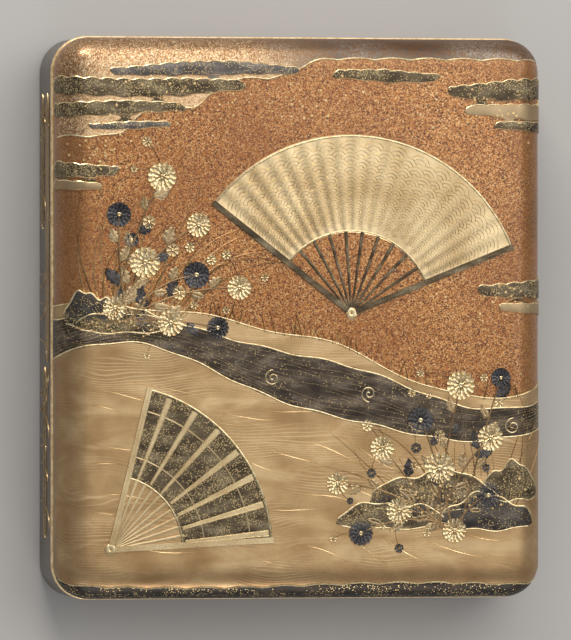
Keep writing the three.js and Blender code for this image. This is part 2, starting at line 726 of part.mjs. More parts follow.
// Water dropper: a lobed shell with an air hole in the middle and a pouring hole near the edge.
function waterDropper() {
  const outerRadius = DROPPER_DIAMETER / 2;
  const skin = (inset) =>
    DROPPER_SHARES.map(([width, rise]) => {
      const radius = outerRadius * width - inset;
      const z = inset + (DROPPER_HEIGHT - 2 * inset) * rise;
      return petalRing(radius, DROPPER_LOBES, DROPPER_NOTCH, z, DROPPER_STEPS_PER_LOBE);
    });
  const hole = (x) =>
    rod(DROPPER_HOLE / 2, DROPPER_HEIGHT / 2, DROPPER_HEIGHT + CUT_SPARE, HOLE_STEPS)
      .rotateX(Math.PI / 2)
      .translate(x, 0, 0);
  return cut(loft(skin(0)), loft(skin(DROPPER_WALL)), hole(0), hole(outerRadius * POURING_HOLE_PLACE));
}

// Rest: a bar across the tray with a half-round notch under each tool.
const toolX = (slot) => (slot + 0.5 - TOOL_COUNT / 2) * toolPitch;
const brushReach = BRUSH_DIAMETER / 2 + BAMBOO_SWELL;
const toolRadii = [brushReach, brushReach, KNIFE_WIDTH / 2, AWL_DIAMETER / 2];
function rest() {
  const bar = block(restWidth, REST_DEPTH, REST_CORNER, 0, REST_HEIGHT, REST_CHAMFER);
  const notches = toolRadii.map((radius, slot) =>
    rod(radius + REST_FIT, -REST_DEPTH, REST_DEPTH).translate(toolX(slot), 0, REST_HEIGHT),
  );
  return cut(bar, ...notches);
}

// Brush: a bamboo handle with a spigot and a socket, the hair that is set in it, and a cap.
const capLength = SPIGOT_LENGTH + HAIR_LENGTH + CAP_FREE + CAP_END;
const brushHandleLength = toolLength - capLength;
function brushHandle() {
  const r = BRUSH_DIAMETER / 2;
  const swell = (y) => [
    [r, y - BAMBOO_SWELL_REACH],
    [r + BAMBOO_SWELL, y],
    [r, y + BAMBOO_SWELL_REACH],
  ];
  const end = brushHandleLength + SPIGOT_LENGTH;
  const socket = HAIR_ROOT_DIAMETER / 2 + SOCKET_FIT;
  return turned([
    [0, 0],
    [r - BRUSH_BUTT_CHAMFER, 0],
    [r, BRUSH_BUTT_CHAMFER],
    ...BAMBOO_JOINTS_FROM_BUTT.flatMap(swell),
    [r, brushHandleLength],
    [SPIGOT_DIAMETER / 2, brushHandleLength],
    [SPIGOT_DIAMETER / 2, end],
    [socket, end],
    [socket, end - HAIR_ROOT_LENGTH - SOCKET_FIT],
    [0, end - HAIR_ROOT_LENGTH - SOCKET_FIT],
  ]);
}

function brushHair() {
  const start = brushHandleLength + SPIGOT_LENGTH;
  const root = HAIR_ROOT_DIAMETER / 2;
  return turned([
    [0, start - HAIR_ROOT_LENGTH],
    [root, start - HAIR_ROOT_LENGTH],
    [root, start + SOCKET_FIT],
    ...HAIR_SHARES.map(([width, rise]) => [(HAIR_DIAMETER / 2) * width, start + HAIR_LENGTH * rise]),
  ]);
}

function brushCap() {
  const mouth = brushHandleLength + SEAT_GAP;
  const end = brushHandleLength + capLength;
  const bore = SPIGOT_DIAMETER / 2 + SOCKET_FIT;
  const r = CAP_DIAMETER / 2;
  return turned([
    [0, end - CAP_END],
    [bore, end - CAP_END],
    [bore, mouth],
    [r - CAP_MOUTH_CHAMFER, mouth],
    [r, mouth + CAP_MOUTH_CHAMFER],
    [r, end - CAP_END_CHAMFER],
    [r - CAP_END_CHAMFER, end],
    [0, end],
  ]);
}

// Paper knife: handle with a slot, collar, and a blade whose tang is let into both.
const knifeHandleLength = toolLength - KNIFE_COLLAR_LENGTH - BLADE_LENGTH;
const lyingBar = (width, height, radius, y0, y1, chamfer = 0) =>
  block(width, height, radius, 0, y1 - y0, chamfer)
    .rotateX(-Math.PI / 2)
    .translate(0, y0, 0);
const tangSlot = (y0, y1) =>
  lyingBar(TANG_WIDTH + 2 * SOCKET_FIT, BLADE_THICKNESS + 2 * SOCKET_FIT, SLOT_CORNER, y0, y1);
function knifeHandle() {
  const bar = lyingBar(KNIFE_WIDTH, KNIFE_HEIGHT, KNIFE_CORNER, 0, knifeHandleLength, KNIFE_CHAMFER);
  const slotEnd = knifeHandleLength - TANG_LENGTH - SOCKET_FIT;
  return cut(bar, tangSlot(slotEnd, knifeHandleLength + CUT_SPARE));
}

function knifeCollar() {
  const start = knifeHandleLength + SEAT_GAP;
  const end = knifeHandleLength + KNIFE_COLLAR_LENGTH;
  const bar = lyingBar(KNIFE_WIDTH, KNIFE_HEIGHT, KNIFE_CORNER, start, end, KNIFE_COLLAR_CHAMFER);
  return cut(bar, tangSlot(start - CUT_SPARE, end + CUT_SPARE));
}

function knifeBlade() {
  const heel = knifeHandleLength + KNIFE_COLLAR_LENGTH + SEAT_GAP;
  const tip = toolLength;
  const back = BLADE_WIDTH / 2;
  const tang = TANG_WIDTH / 2;
  const outline = new THREE.Shape([
    new THREE.Vector2(-tang, knifeHandleLength - TANG_LENGTH),
    new THREE.Vector2(tang, knifeHandleLength - TANG_LENGTH),
    new THREE.Vector2(tang, heel),
    new THREE.Vector2(back, heel),
    new THREE.Vector2(back, tip - BLADE_POINT_LENGTH),
    new THREE.Vector2(-back + BLADE_POINT_WIDTH, tip),
    new THREE.Vector2(-back, tip),
    new THREE.Vector2(-back, heel),
    new THREE.Vector2(-tang, heel),
  ]);
  return new THREE.ExtrudeGeometry(outline, { depth: BLADE_THICKNESS, bevelEnabled: false }).translate(
    0,
    0,
    -BLADE_THICKNESS / 2,
  );
}

// Awl: handle with a bore, collar, and a tapered spike.
const awlHandleLength = toolLength - AWL_COLLAR_LENGTH - SPIKE_LENGTH;
function awlHandle() {
  const r = AWL_DIAMETER / 2;
  const bore = SPIKE_DIAMETER / 2 + SOCKET_FIT;
  return turned([
    [0, 0],
    [r - AWL_BUTT_CHAMFER, 0],
    [r, AWL_BUTT_CHAMFER],
    [r, awlHandleLength],
    [bore, awlHandleLength],
    [bore, awlHandleLength - SPIKE_TANG - SOCKET_FIT],
    [0, awlHandleLength - SPIKE_TANG - SOCKET_FIT],
  ]);
}

function awlCollar() {
  const start = awlHandleLength + SEAT_GAP;
  const end = awlHandleLength + AWL_COLLAR_LENGTH;
  const r = AWL_DIAMETER / 2;
  const bore = SPIKE_DIAMETER / 2 + SOCKET_FIT;
  return turned([
    [bore, start],
    [r, start],
    [r, start + AWL_COLLAR_BAND],
    [r * AWL_COLLAR_TAPER, end],
    [bore, end],
    [bore, start],
  ]);
}

function awlSpike() {
  const start = awlHandleLength - SPIKE_TANG;
  const r = SPIKE_DIAMETER / 2;
  return turned(
    [
      [0, start],
      [r, start],
      [r, awlHandleLength + AWL_COLLAR_LENGTH],
      [r * SPIKE_POINT_TAPER, toolLength - SPIKE_POINT_LENGTH],
      [0, toolLength],
    ],
    SPIKE_STEPS,
  );
}

// Ink stick: a bar with a sunk panel on top.
function inkStick() {
  const bar = block(STICK_WIDTH, STICK_LENGTH, STICK_CORNER, 0, STICK_HEIGHT, STICK_CHAMFER);
  const panel = block(
    STICK_WIDTH - 2 * STICK_PANEL_BORDER,
    STICK_LENGTH - 2 * STICK_PANEL_BORDER,
    STICK_PANEL_CORNER,
    STICK_HEIGHT - STICK_PANEL_DEPTH,
    STICK_HEIGHT + CUT_SPARE,
  );
  return cut(bar, panel);
}

// Ink holder: two springy arms, a band that binds their tails, and a ring that slides to close the jaws.
// Each piece is about the middle of the pair, with the jaws at +Y.
const armZ = BAND_THICKNESS + BAND_FIT;
function holderArm(side) {
  const inner = ARM_SPLIT / 2;
  const grip = inner + JAW_GRIP_DEPTH;
  const outer = inner + ARM_WIDTH;
  const half = ARM_LENGTH / 2;
  const jaw = new THREE.Shape([
    new THREE.Vector2(side * inner, -half),
    new THREE.Vector2(side * outer, -half),
    new THREE.Vector2(side * outer, half - JAW_LENGTH),
    new THREE.Vector2(side * (outer - JAW_TAPER), half),
    new THREE.Vector2(side * grip, half),
    new THREE.Vector2(side * grip, half - JAW_GRIP_LENGTH),
    new THREE.Vector2(side * inner, half - JAW_LENGTH),
  ]);
  return new THREE.ExtrudeGeometry(jaw, { depth: ARM_HEIGHT, bevelEnabled: false }).translate(0, 0, armZ);
}

function holderBand(y) {
  const width = bandWidth - 2 * BAND_THICKNESS;
  const height = ARM_HEIGHT + 2 * BAND_FIT;
  const middleZ = armZ + ARM_HEIGHT / 2;
  const outer = lyingBar(bandWidth, height + 2 * BAND_THICKNESS, BAND_CORNER, 0, BAND_LENGTH);
  const inner = lyingBar(width, height, SLOT_CORNER, -CUT_SPARE, BAND_LENGTH + CUT_SPARE);
  return cut(outer, inner).translate(0, y, middleZ);
}

// Assembly
const writingBox = new THREE.Group();

writingBox.add(
  piece("base_box", baseShell(), nashiji),
  piece("base_rim", rim(baseRimZ), giltRim),
  piece("lid", lidShell(), nashiji),
  piece("lid_rim", rim(lidRimZ), giltRim),
  piece("great_fan", fan(GREAT_FAN), goldPowder),
  piece("striped_fan", fan(STRIPED_FAN), silverPowder),
  piece("left_rocks", rocks(LEFT_ROCKS), silverPowder),
  piece("right_rocks", rocks(RIGHT_ROCKS), silverPowder),
);

for (const [name, bands] of Object.entries(MISTS)) {
  writingBox.add(piece(name, mist(bands), silverPowder));
}

for (const inlay of BLOSSOMS) {
  const metal = inlay.metal === "gold" ? goldInlay : silverInlay;
  const place = [...onPanel(inlay.x, inlay.y), lidTopZ];
  writingBox.add(piece(inlay.name, blossom(inlay.diameter), metal, place));
}

writingBox.add(
  piece("inkstone_board", board(), nashiji),
  piece("inkstone", inkstone(), slate, [0, stoneY, pocketZ + SEAT_GAP]),
  piece("water_dropper", waterDropper(), agedBronze, [0, dropperY, pocketZ + SEAT_GAP]),
);

const rightTray = new THREE.Group();
rightTray.position.x = trayCentre;
rightTray.add(
  piece("right_tray", tray(), nashiji),
  piece("front_rest", rest(), blackLacquer, [0, frontRestY, trayFloorZ]),
  piece("back_rest", rest(), blackLacquer, [0, backRestY, trayFloorZ]),
);

const lay = (name, geometry, material, slot) =>
  piece(name, geometry, material, [toolX(slot), toolFrontY, toolZ]);
for (const slot of [0, 1]) {
  const brush = `brush_${slot + 1}`;
  rightTray.add(
    lay(`${brush}_handle`, brushHandle(), bamboo, slot),
    lay(`${brush}_hair`, brushHair(), hair, slot),
    lay(`${brush}_cap`, brushCap(), bamboo, slot),
  );
}
rightTray.add(
  lay("knife_handle", knifeHandle(), blackLacquer, 2),
  lay("knife_collar", knifeCollar(), silverInlay, 2),
  lay("knife_blade", knifeBlade(), steel, 2),
  lay("awl_handle", awlHandle(), blackLacquer, 3),
  lay("awl_collar", awlCollar(), silverInlay, 3),
  lay("awl_spike", awlSpike(), steel, 3),
);

const leftTray = new THREE.Group();
leftTray.position.x = -trayCentre;
// the stick, the holder and the tray's sides have equal gaps between them
const sideGap = (2 * trayInsideHalfWidth - STICK_WIDTH - bandWidth) / 3;
const stickX = -trayInsideHalfWidth + sideGap + STICK_WIDTH / 2;
const holderX = trayInsideHalfWidth - sideGap - bandWidth / 2;
const lowZ = trayFloorZ + SEAT_GAP;
const tailY = -ARM_LENGTH / 2 + TAIL_INSET;
const ringY = ARM_LENGTH / 2 - RING_FROM_JAW - BAND_LENGTH;
leftTray.add(
  piece("left_tray", tray(), nashiji),
  piece("ink_stick", inkStick(), inkBlack, [stickX, 0, lowZ]),
  piece("holder_left_arm", holderArm(-1), bamboo, [holderX, 0, lowZ]),
  piece("holder_right_arm", holderArm(1), bamboo, [holderX, 0, lowZ]),
  piece("holder_tail_band", holderBand(tailY), agedBronze, [holderX, 0, lowZ]),
  piece("holder_ring", holderBand(ringY), agedBronze, [holderX, 0, lowZ]),
);
writingBox.add(rightTray, leftTray);

export default writingBox;
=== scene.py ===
import math

import bmesh
import bpy
import numpy as np
from mathutils import Matrix, Vector


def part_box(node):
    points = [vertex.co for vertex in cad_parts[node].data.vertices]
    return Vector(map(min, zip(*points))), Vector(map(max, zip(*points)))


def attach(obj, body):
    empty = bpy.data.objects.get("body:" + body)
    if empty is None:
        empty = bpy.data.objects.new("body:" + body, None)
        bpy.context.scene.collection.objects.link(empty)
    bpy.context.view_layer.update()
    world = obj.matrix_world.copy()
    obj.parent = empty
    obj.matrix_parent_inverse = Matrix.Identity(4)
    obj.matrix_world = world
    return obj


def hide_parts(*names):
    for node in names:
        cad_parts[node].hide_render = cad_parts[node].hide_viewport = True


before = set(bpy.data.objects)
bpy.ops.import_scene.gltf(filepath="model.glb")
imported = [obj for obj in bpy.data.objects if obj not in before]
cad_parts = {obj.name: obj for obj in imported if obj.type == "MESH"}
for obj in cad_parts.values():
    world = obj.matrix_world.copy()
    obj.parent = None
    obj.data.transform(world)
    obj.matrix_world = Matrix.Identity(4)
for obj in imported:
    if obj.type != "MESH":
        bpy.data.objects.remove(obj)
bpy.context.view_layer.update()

# The looks of a lacquered writing box. Lengths are in millimetres until a mesh is made.
MM = 0.001
QUARTER = math.pi / 2
rng = np.random.default_rng(7)


def extent(node):
    """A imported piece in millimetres: its lowest and highest corner, its middle, and half its size."""
    low, high = (np.array(corner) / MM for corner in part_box(node))
    return low, high, (low + high) / 2, (high - low) / 2


# Sizes of the box that its outer corners don't tell
RIM_CORNER = 16.0
SHOULDER = 13.0
LID_ROOF = 4.0
LID_WALL = 2.5
BASE_WALL = 5.2
LIP = 2.4
FLOOR_TOP = 4.0
FOOT_ROUND = 2.5
FOOT_WIDTH = 7.0
FOOT_RECESS = 0.8
LIP_ROUND = 0.5
TRAY_WALL = 2.5
TRAY_CORNER = 9.5

lid_edge = extent("lid")[0][2]
lid_top = extent("gold_blossom_01")[0][2]
base_high = extent("base_box")[1]
lid_rim_high = extent("lid_rim")[1]
base_rim_low = extent("base_rim")[0]
rim_proud = lid_rim_high[0] - base_high[0]
shoulder_foot = lid_top - SHOULDER
flat_panel = base_high[:2] - SHOULDER
flat_corner = RIM_CORNER - rim_proud - SHOULDER
corner_middle = flat_panel - flat_corner
lid_edge_reach = SHOULDER * QUARTER + shoulder_foot - lid_edge
base_top_reach = SHOULDER * QUARTER + shoulder_foot - base_rim_low[2]
base_foot_reach = SHOULDER * QUARTER + shoulder_foot - FOOT_ROUND


# Materials
def colour(code):
    """An sRGB hex value as linear red, green, blue and alpha."""
    parts = [int(code[i : i + 2], 16) / 255 for i in (0, 2, 4)]
    linear = [p / 12.92 if p <= 0.04045 else ((p + 0.055) / 1.055) ** 2.4 for p in parts]
    return (*linear, 1.0)


def per(size):
    """The texture scale that gives cells or waves of this many millimetres."""
    return 1 / (size * MM)


# A Mix node of colours: its output, and the inputs that its sources go to
MIX = {"data_type": "RGBA", "out": 2}
MIX_INPUTS = (0, 6, 7)


def add(tree, kind, *sources, out=0, **settings):
    """Adds a shader node and gives back one of its outputs. Sources are the values or links of its first
    inputs. A setting is that of an input, whose spaces are written as underscores, a property of the node,
    or the stops of a colour ramp, whose shades are hex colours or plain numbers."""
    made = tree.nodes.new("ShaderNode" + kind)
    inputs = {}
    for key, value in settings.items():
        if key == "stops":
            ramp = made.color_ramp
            while len(ramp.elements) < len(value):
                ramp.elements.new(0.5)
            for element, (position, shade) in zip(ramp.elements, value):
                element.position = position
                element.color = colour(shade) if isinstance(shade, str) else (shade, shade, shade, 1)
        elif key.replace("_", " ") in made.inputs:
            inputs[key.replace("_", " ")] = value
        else:
            setattr(made, key, value)
    inputs.update(zip(MIX_INPUTS if kind == "Mix" else (0, 1, 2), sources))
    for key, value in inputs.items():
        if isinstance(value, bpy.types.NodeSocket):
            tree.links.new(value, made.inputs[key])
        else:
            made.inputs[key].default_value = value
    return made.outputs[out] if made.outputs else made


def finish(name, surface):
    """A material whose shader's inputs are given by surface(tree, place). Among them, relief is a height,
    the depth in millimetres that it stands for, and its strength."""
    made = bpy.data.materials.new(name)
    made.use_nodes = True
    tree = made.node_tree
    tree.nodes.clear()
    sockets = surface(tree, add(tree, "TexCoord", out="Object"))
    if "relief" in sockets:
        height, depth, strength = sockets.pop("relief")
        sockets["Normal"] = add(tree, "Bump", Height=height, Distance=depth * MM, Strength=strength)
    add(tree, "OutputMaterial", Surface=add(tree, "BsdfPrincipled", **sockets))
    return made


# Over the shoulders and walls this factor carries painted shade, besides the change of finish there
def towards_walls(tree, place, most):
    """A factor that is 0 on the flat panel and grows over the shoulder, with a ragged edge: the length of the
    part of X and Y that lies past the panel, eased over 26 mm."""
    far = add(tree, "VectorMath", place, operation="ABSOLUTE")
    rest = tuple(-(corner_middle - 10) * MM) + (0.0,)
    past = add(tree, "VectorMath", far, rest, operation="ADD")
    over = add(tree, "VectorMath", past, (0, 0, -1), operation="MAXIMUM")
    flat = add(tree, "VectorMath", over, (1, 1, 0), operation="MULTIPLY")
    reach = add(tree, "VectorMath", flat, operation="LENGTH", out="Value")
    ragged = add(tree, "TexNoise", Vector=place, Scale=per(7), Detail=4.0)
    wander = add(tree, "Math", ragged, 8 * MM, reach, operation="MULTIPLY_ADD")
    span = {"From Min": 6 * MM, "From Max": 32 * MM, "To Max": most, "interpolation_type": "SMOOTHSTEP"}
    return add(tree, "MapRange", Value=wander, **span)


def nashiji(dust_and_shade_share, dust_and_shade_colours=("6b4a2e", "8a6038", "a87c50")):
    """Sprinkled gold lacquer: flakes of about half a millimetre under amber lacquer, so the eye sees a warm
    orange ground pricked with dark gaps, and single flakes that glint. Over the box's shoulders and down
    its walls the flakes give way to fine gold dust, whose brown is darkened there as painted shade."""

    def surface(tree, place):
        cells = add(tree, "TexVoronoi", Vector=place, Scale=per(0.44), out="Color")
        shade = add(tree, "SeparateColor", Color=cells)
        tone = add(tree, "TexNoise", Vector=place, Scale=per(45), Detail=3.0)
        stops = [(0.0, "2c1810"), (0.2, "66381c"), (0.36, "ab6e37"), (0.72, "c98b4b"), (1.0, "edc890")]
        flake = add(tree, "ValToRGB", Fac=shade, stops=stops)
        deep = add(tree, "ValToRGB", Fac=tone, stops=[(0.35, 0.1), (0.7, 0.5)])
        ground = add(tree, "Mix", deep, flake, colour("7f441d"), **MIX)
        grain = add(tree, "TexNoise", Vector=place, Scale=per(0.8), Roughness=0.7)
        worn = add(tree, "TexNoise", Vector=place, Scale=per(24), Detail=5.0)
        stops = list(zip((0.3, 0.5, 0.75), dust_and_shade_colours))
        dust = add(tree, "ValToRGB", Fac=worn, stops=stops)
        thin = add(tree, "ValToRGB", Fac=grain, stops=[(0.4, 0.25), (0.65, 0.0)])
        powder = add(tree, "Mix", thin, dust, colour("4d3421"), **MIX)
        # painted shade: towards the walls the ground turns to gold dust in browns darkened to stand for shade
        edge = towards_walls(tree, place, dust_and_shade_share)
        return {
            "Base Color": add(tree, "Mix", edge, ground, powder, **MIX),
            "Metallic": add(tree, "ValToRGB", Fac=shade, stops=[(0.2, 0.2), (0.7, 0.6)]),
            "Roughness": add(tree, "ValToRGB", Fac=shade, stops=[(0.2, 0.42), (0.8, 0.3)]),
            "relief": (shade, 0.05, 0.35),
            "Coat Weight": 0.3,
            "Coat Roughness": 0.14,
        }

    return surface


def gold_powder(light, dark, roughness=0.4, metallic=0.7, drawn=0.0):
    """Raised lacquer dusted with gold powder and polished: a soft tan shine with a grain of half a
    millimetre, thin in places, and painted darker brown towards the box's walls as shade. Drawn is the
    strength of the water on a shore: broad drifts of thicker powder, long in X, and in places fine drawn
    lines, about 1.2 mm apart.
    """

    def surface(tree, place):
        grain = add(tree, "TexNoise", Vector=place, Scale=per(0.6), Roughness=0.7)
        tone = add(tree, "TexNoise", Vector=place, Scale=per(16), Detail=4.0)
        body = add(tree, "ValToRGB", Fac=tone, stops=[(0.32, dark), (0.66, light)])
        thin = add(tree, "ValToRGB", Fac=grain, stops=[(0.34, 0.4), (0.6, 0.0)])
        gold = add(tree, "Mix", thin, body, colour(dark), **MIX)
        along = add(tree, "Mapping", Vector=place, Scale=(0.3, 1, 1))
        broad = {"Vector": along, "Scale": per(11), "Detail": 5.0, "Distortion": 0.8}
        stops = [(0.34, "7a5c3c"), (0.5, "b8946a"), (0.64, "f2d9ac")]
        drift = add(tree, "ValToRGB", Fac=add(tree, "TexNoise", **broad), stops=stops)
        gold = add(tree, "Mix", 0.8 * drawn, gold, drift, **MIX)
        swirl = {"Distortion": 34.0, "Detail": 1.0, "Detail Scale": 0.26, "bands_direction": "Y"}
        flow = add(tree, "TexWave", Vector=along, Scale=per(3.8), **swirl, out="Fac")
        stroke = add(tree, "ValToRGB", Fac=flow, stops=[(0.66, 0.0), (0.95, drawn)])
        patch = add(tree, "TexNoise", Vector=along, Scale=per(14), Detail=1.0)
        shown = add(tree, "ValToRGB", Fac=patch, stops=[(0.47, 0.0), (0.64, 1.0)])
        line = add(tree, "Math", stroke, shown, operation="MULTIPLY")
        gold = add(tree, "Mix", line, gold, colour("f0d6a8"), **MIX)
        height = add(tree, "Math", line, 1.2, grain, operation="MULTIPLY_ADD")
        # painted shade: the gold is mixed to dark brown over the shoulders and walls
        edge = towards_walls(tree, place, 0.6)
        stops = [(0.3, roughness - 0.08), (0.7, roughness + 0.1)]
        return {
            "Base Color": add(tree, "Mix", edge, gold, colour("7e6245"), **MIX),
            "Metallic": metallic,
            "Roughness": add(tree, "ValToRGB", Fac=grain, stops=stops),
            "relief": (height, 0.06, 0.6),
        }

    return surface


def turning_powder(tree, place):
    """Gold powder at the back left that is strewn out into silver powder towards the right, where it has
    tarnished grey. Both are sprinkled grain by grain, half a millimetre apart, so each change is stippled:
    from gold to silver over some 60 mm, and from either to bare brown lacquer towards the walls."""
    along = add(tree, "Mapping", Vector=place, Scale=(0.35, 1, 1))
    tone = add(tree, "TexNoise", Vector=along, Scale=per(12), Detail=4.0)
    cells = add(tree, "TexVoronoi", Vector=place, Scale=per(0.5), out="Color")
    shade = add(tree, "SeparateColor", Color=cells)
    pick = add(tree, "SeparateColor", Color=cells, out="Green")
    gold = add(tree, "ValToRGB", Fac=shade, stops=[(0.0, "c4925e"), (1.0, "f9e1b9")])
    stops = [(0.36, "4a4641"), (0.5, "6f6a61"), (0.64, "97928a")]
    silver = add(tree, "ValToRGB", Fac=tone, stops=stops)
    x = add(tree, "SeparateXYZ", Vector=place)
    ragged = add(tree, "Math", tone, 60 * MM, x, operation="MULTIPLY_ADD")
    grainy = add(tree, "Math", pick, 24 * MM, ragged, operation="MULTIPLY_ADD")
    span = {"From Min": 10 * MM, "From Max": 62 * MM, "interpolation_type": "SMOOTHSTEP"}
    right = add(tree, "MapRange", Value=grainy, **span)
    powder = add(tree, "Mix", right, gold, silver, **MIX)
    edge = towards_walls(tree, place, 1.0)
    scarce = add(tree, "Math", edge, pick, operation="SUBTRACT")
    span = {"From Min": -0.2, "From Max": 0.5, "To Max": 0.85}
    bare = add(tree, "MapRange", Value=scarce, **span)
    return {
        "Base Color": add(tree, "Mix", bare, powder, colour("6e4a2b"), **MIX),
        "Metallic": 0.62,
        "Roughness": add(tree, "ValToRGB", Fac=shade, stops=[(0.2, 0.42), (0.8, 0.28)]),
        "relief": (shade, 0.03, 0.3),
    }


def silver_ground(gold_share, dark="463c30", mid="72654f", pale="9c8f74"):
    """Silver powder that has tarnished grey, with browner patches, and set with cut gold: squares of about
    half a millimetre, drawn a little large so that they show, crowded in some places and few in others."""

    def surface(tree, place):
        along = add(tree, "Mapping", Vector=place, Scale=(0.45, 1, 1))
        patch = add(tree, "TexNoise", Vector=along, Scale=per(5), Detail=6.0)
        stops = [(0.34, dark), (0.5, mid), (0.68, pale)]
        body = add(tree, "ValToRGB", Fac=patch, stops=stops)
        grain = add(tree, "TexNoise", Vector=place, Scale=per(0.7), Roughness=0.7)
        thin = add(tree, "ValToRGB", Fac=grain, stops=[(0.36, 0.7), (0.6, 0.0)])
        body = add(tree, "Mix", thin, body, colour(dark), **MIX)
        square = {"Vector": place, "Scale": per(0.7), "distance": "CHEBYCHEV", "Randomness": 0.85}
        apart = add(tree, "TexVoronoi", **square)
        pick = add(tree, "TexVoronoi", **square, out="Color")
        crowd = add(tree, "TexNoise", Vector=along, Scale=per(7), Detail=3.0)
        chance = add(tree, "SeparateColor", Color=pick, out="Green")
        span = {"From Min": 0.4, "From Max": 0.58, "To Min": 0.1 * gold_share, "To Max": gold_share}
        few = add(tree, "MapRange", Value=crowd, **span)
        chosen = add(tree, "Math", chance, few, operation="LESS_THAN")
        inside = add(tree, "Math", apart, 0.3, operation="LESS_THAN")
        gold = add(tree, "Math", chosen, inside, operation="MULTIPLY")
        raised = add(tree, "Math", grain, 0.8, gold, operation="MULTIPLY_ADD")
        return {
            "Base Color": add(tree, "Mix", gold, body, colour("cdb786"), **MIX),
            "Metallic": 0.78,
            "Roughness": add(tree, "ValToRGB", Fac=patch, stops=[(0.3, 0.34), (0.7, 0.5)]),
            "relief": (raised, 0.1, 0.6),
        }

    return surface


def grained(noises, body, dull=None, relief=None, fleck=None, also=None):
    """A finish that follows one or two noises, each with its size in millimetres, how it is stretched, and
    the node's own settings. The others name the noise that they follow: body gives its colours, dull the
    roughness, relief a depth in millimetres and a strength, and fleck how much shows of a last colour."""

    def surface(tree, place):
        made = {}
        for name, (size, stretch, settings) in noises.items():
            drawn = {"Vector": place, "Scale": stretch}
            along = add(tree, "Mapping", **drawn) if stretch else place
            made[name] = add(tree, "TexNoise", Vector=along, Scale=per(size), **settings)
        shades = add(tree, "ValToRGB", Fac=made[body[0]], stops=body[1])
        if fleck:
            share = add(tree, "ValToRGB", Fac=made[fleck[0]], stops=fleck[1])
            shades = add(tree, "Mix", share, shades, colour(fleck[2]), **MIX)
        sockets = {"Base Color": shades, **(also or {})}
        if dull:
            sockets["Roughness"] = add(tree, "ValToRGB", Fac=made[dull[0]], stops=dull[1])
        if relief:
            sockets["relief"] = (made[relief[0]], *relief[1:])
        return sockets

    return surface


def cut_foil(light, dark, roughness=0.24, metallic=0.9):
    """Cut sheet gold, burnished: bright, with faint waves left by the burnishing stone."""
    return grained(
        {"waves": (2.2, None, {}), "grain": (0.4, None, {})},
        body=("waves", [(0.35, dark), (0.6, light)]),
        dull=("grain", [(0.3, roughness - 0.06), (0.7, roughness + 0.14)]),
        relief=("waves", 0.08, 0.5),
        also={"Metallic": metallic},
    )


# Black lacquer polished by hand: almost a mirror, with the brown cast and faint haze of old work
black_lacquer = grained(
    {"haze": (9, None, {"Detail": 4.0}), "dust": (0.6, None, {})},
    body=("haze", [(0.3, "140f0c"), (0.75, "2b2019")]),
    dull=("haze", [(0.3, 0.16), (0.7, 0.3)]),
    relief=("dust", 0.02, 0.3),
    also={"Coat Weight": 0.5, "Coat Roughness": 0.06},
)
# Inkstone slate, honed: blue black, with layers that run along it and a soft dry surface
slate = grained(
    {"layers": (3.5, (1, 0.2, 1), {"Detail": 4.0}), "speck": (0.8, None, {"Roughness": 0.7})},
    body=("layers", [(0.35, "1f2125"), (0.5, "292b30"), (0.65, "34363b")]),
    dull=("speck", [(0.3, 0.45), (0.7, 0.65)]),
    relief=("speck", 0.06, 0.6),
    fleck=("speck", [(0.5, 0.0), (0.75, 0.4)], "47484e"),
)
# Cast bronze handled for years: brown, with brassy high places and a darker patina in patches
bronze = grained(
    {"patch": (7, None, {"Detail": 4.0}), "pits": (0.8, None, {})},
    body=("patch", [(0.3, "46351f"), (0.5, "755a36"), (0.75, "a58654")]),
    dull=("pits", [(0.3, 0.28), (0.7, 0.5)]),
    relief=("pits", 0.1, 0.5),
    also={"Metallic": 0.88},
)
# Bamboo with its skin on, rubbed by use: fine fibres along its length, and brown flecks of age
bamboo = grained(
    {"fibre": (0.6, (1, 0.03, 1), {"Roughness": 0.7}), "age": (16, None, {"Detail": 3.0})},
    body=("fibre", [(0.3, "9c7338"), (0.55, "c29a58"), (0.8, "d9b87a")]),
    dull=("fibre", [(0.3, 0.42), (0.7, 0.3)]),
    relief=("fibre", 0.05, 0.5),
    fleck=("age", [(0.45, 0.0), (0.75, 0.5)], "7a5426"),
)
# Goat hair drawn to a point: ivory strands along the brush
goat_hair = grained(
    {"strand": (0.35, (1, 0.02, 1), {"Roughness": 0.8})},
    body=("strand", [(0.3, "a8916c"), (0.55, "d9c9a8"), (0.8, "efe6d0")]),
    dull=("strand", [(0.3, 0.75), (0.7, 0.55)]),
    relief=("strand", 0.12, 0.9),
)
# Forged steel ground on a stone: fine scratches across its length
steel = grained(
    {"scratch": (0.3, (0.04, 1, 1), {"Roughness": 0.8}), "cloud": (9, None, {})},
    body=("cloud", [(0.3, "85888b"), (0.7, "b4b7b9")]),
    dull=("scratch", [(0.3, 0.2), (0.7, 0.4)]),
    relief=("scratch", 0.02, 0.5),
    also={"Metallic": 1.0},
)
# Soot and glue pressed in a wooden mould, which leaves a faint grain and a soft shine
ink = grained(
    {"grain": (1.2, None, {"Detail": 4.0})},
    body=("grain", [(0.3, "141214"), (0.7, "262225")]),
    dull=("grain", [(0.3, 0.38), (0.7, 0.55)]),
    relief=("grain", 0.06, 0.6),
)
# Seamless paper, rolled flat: even and dull
paper = grained(
    {"cloud": (400, None, {})},
    body=("cloud", [(0.3, "bbbbba"), (0.7, "c2c2c1")]),
    also={"Roughness": 0.9},
)

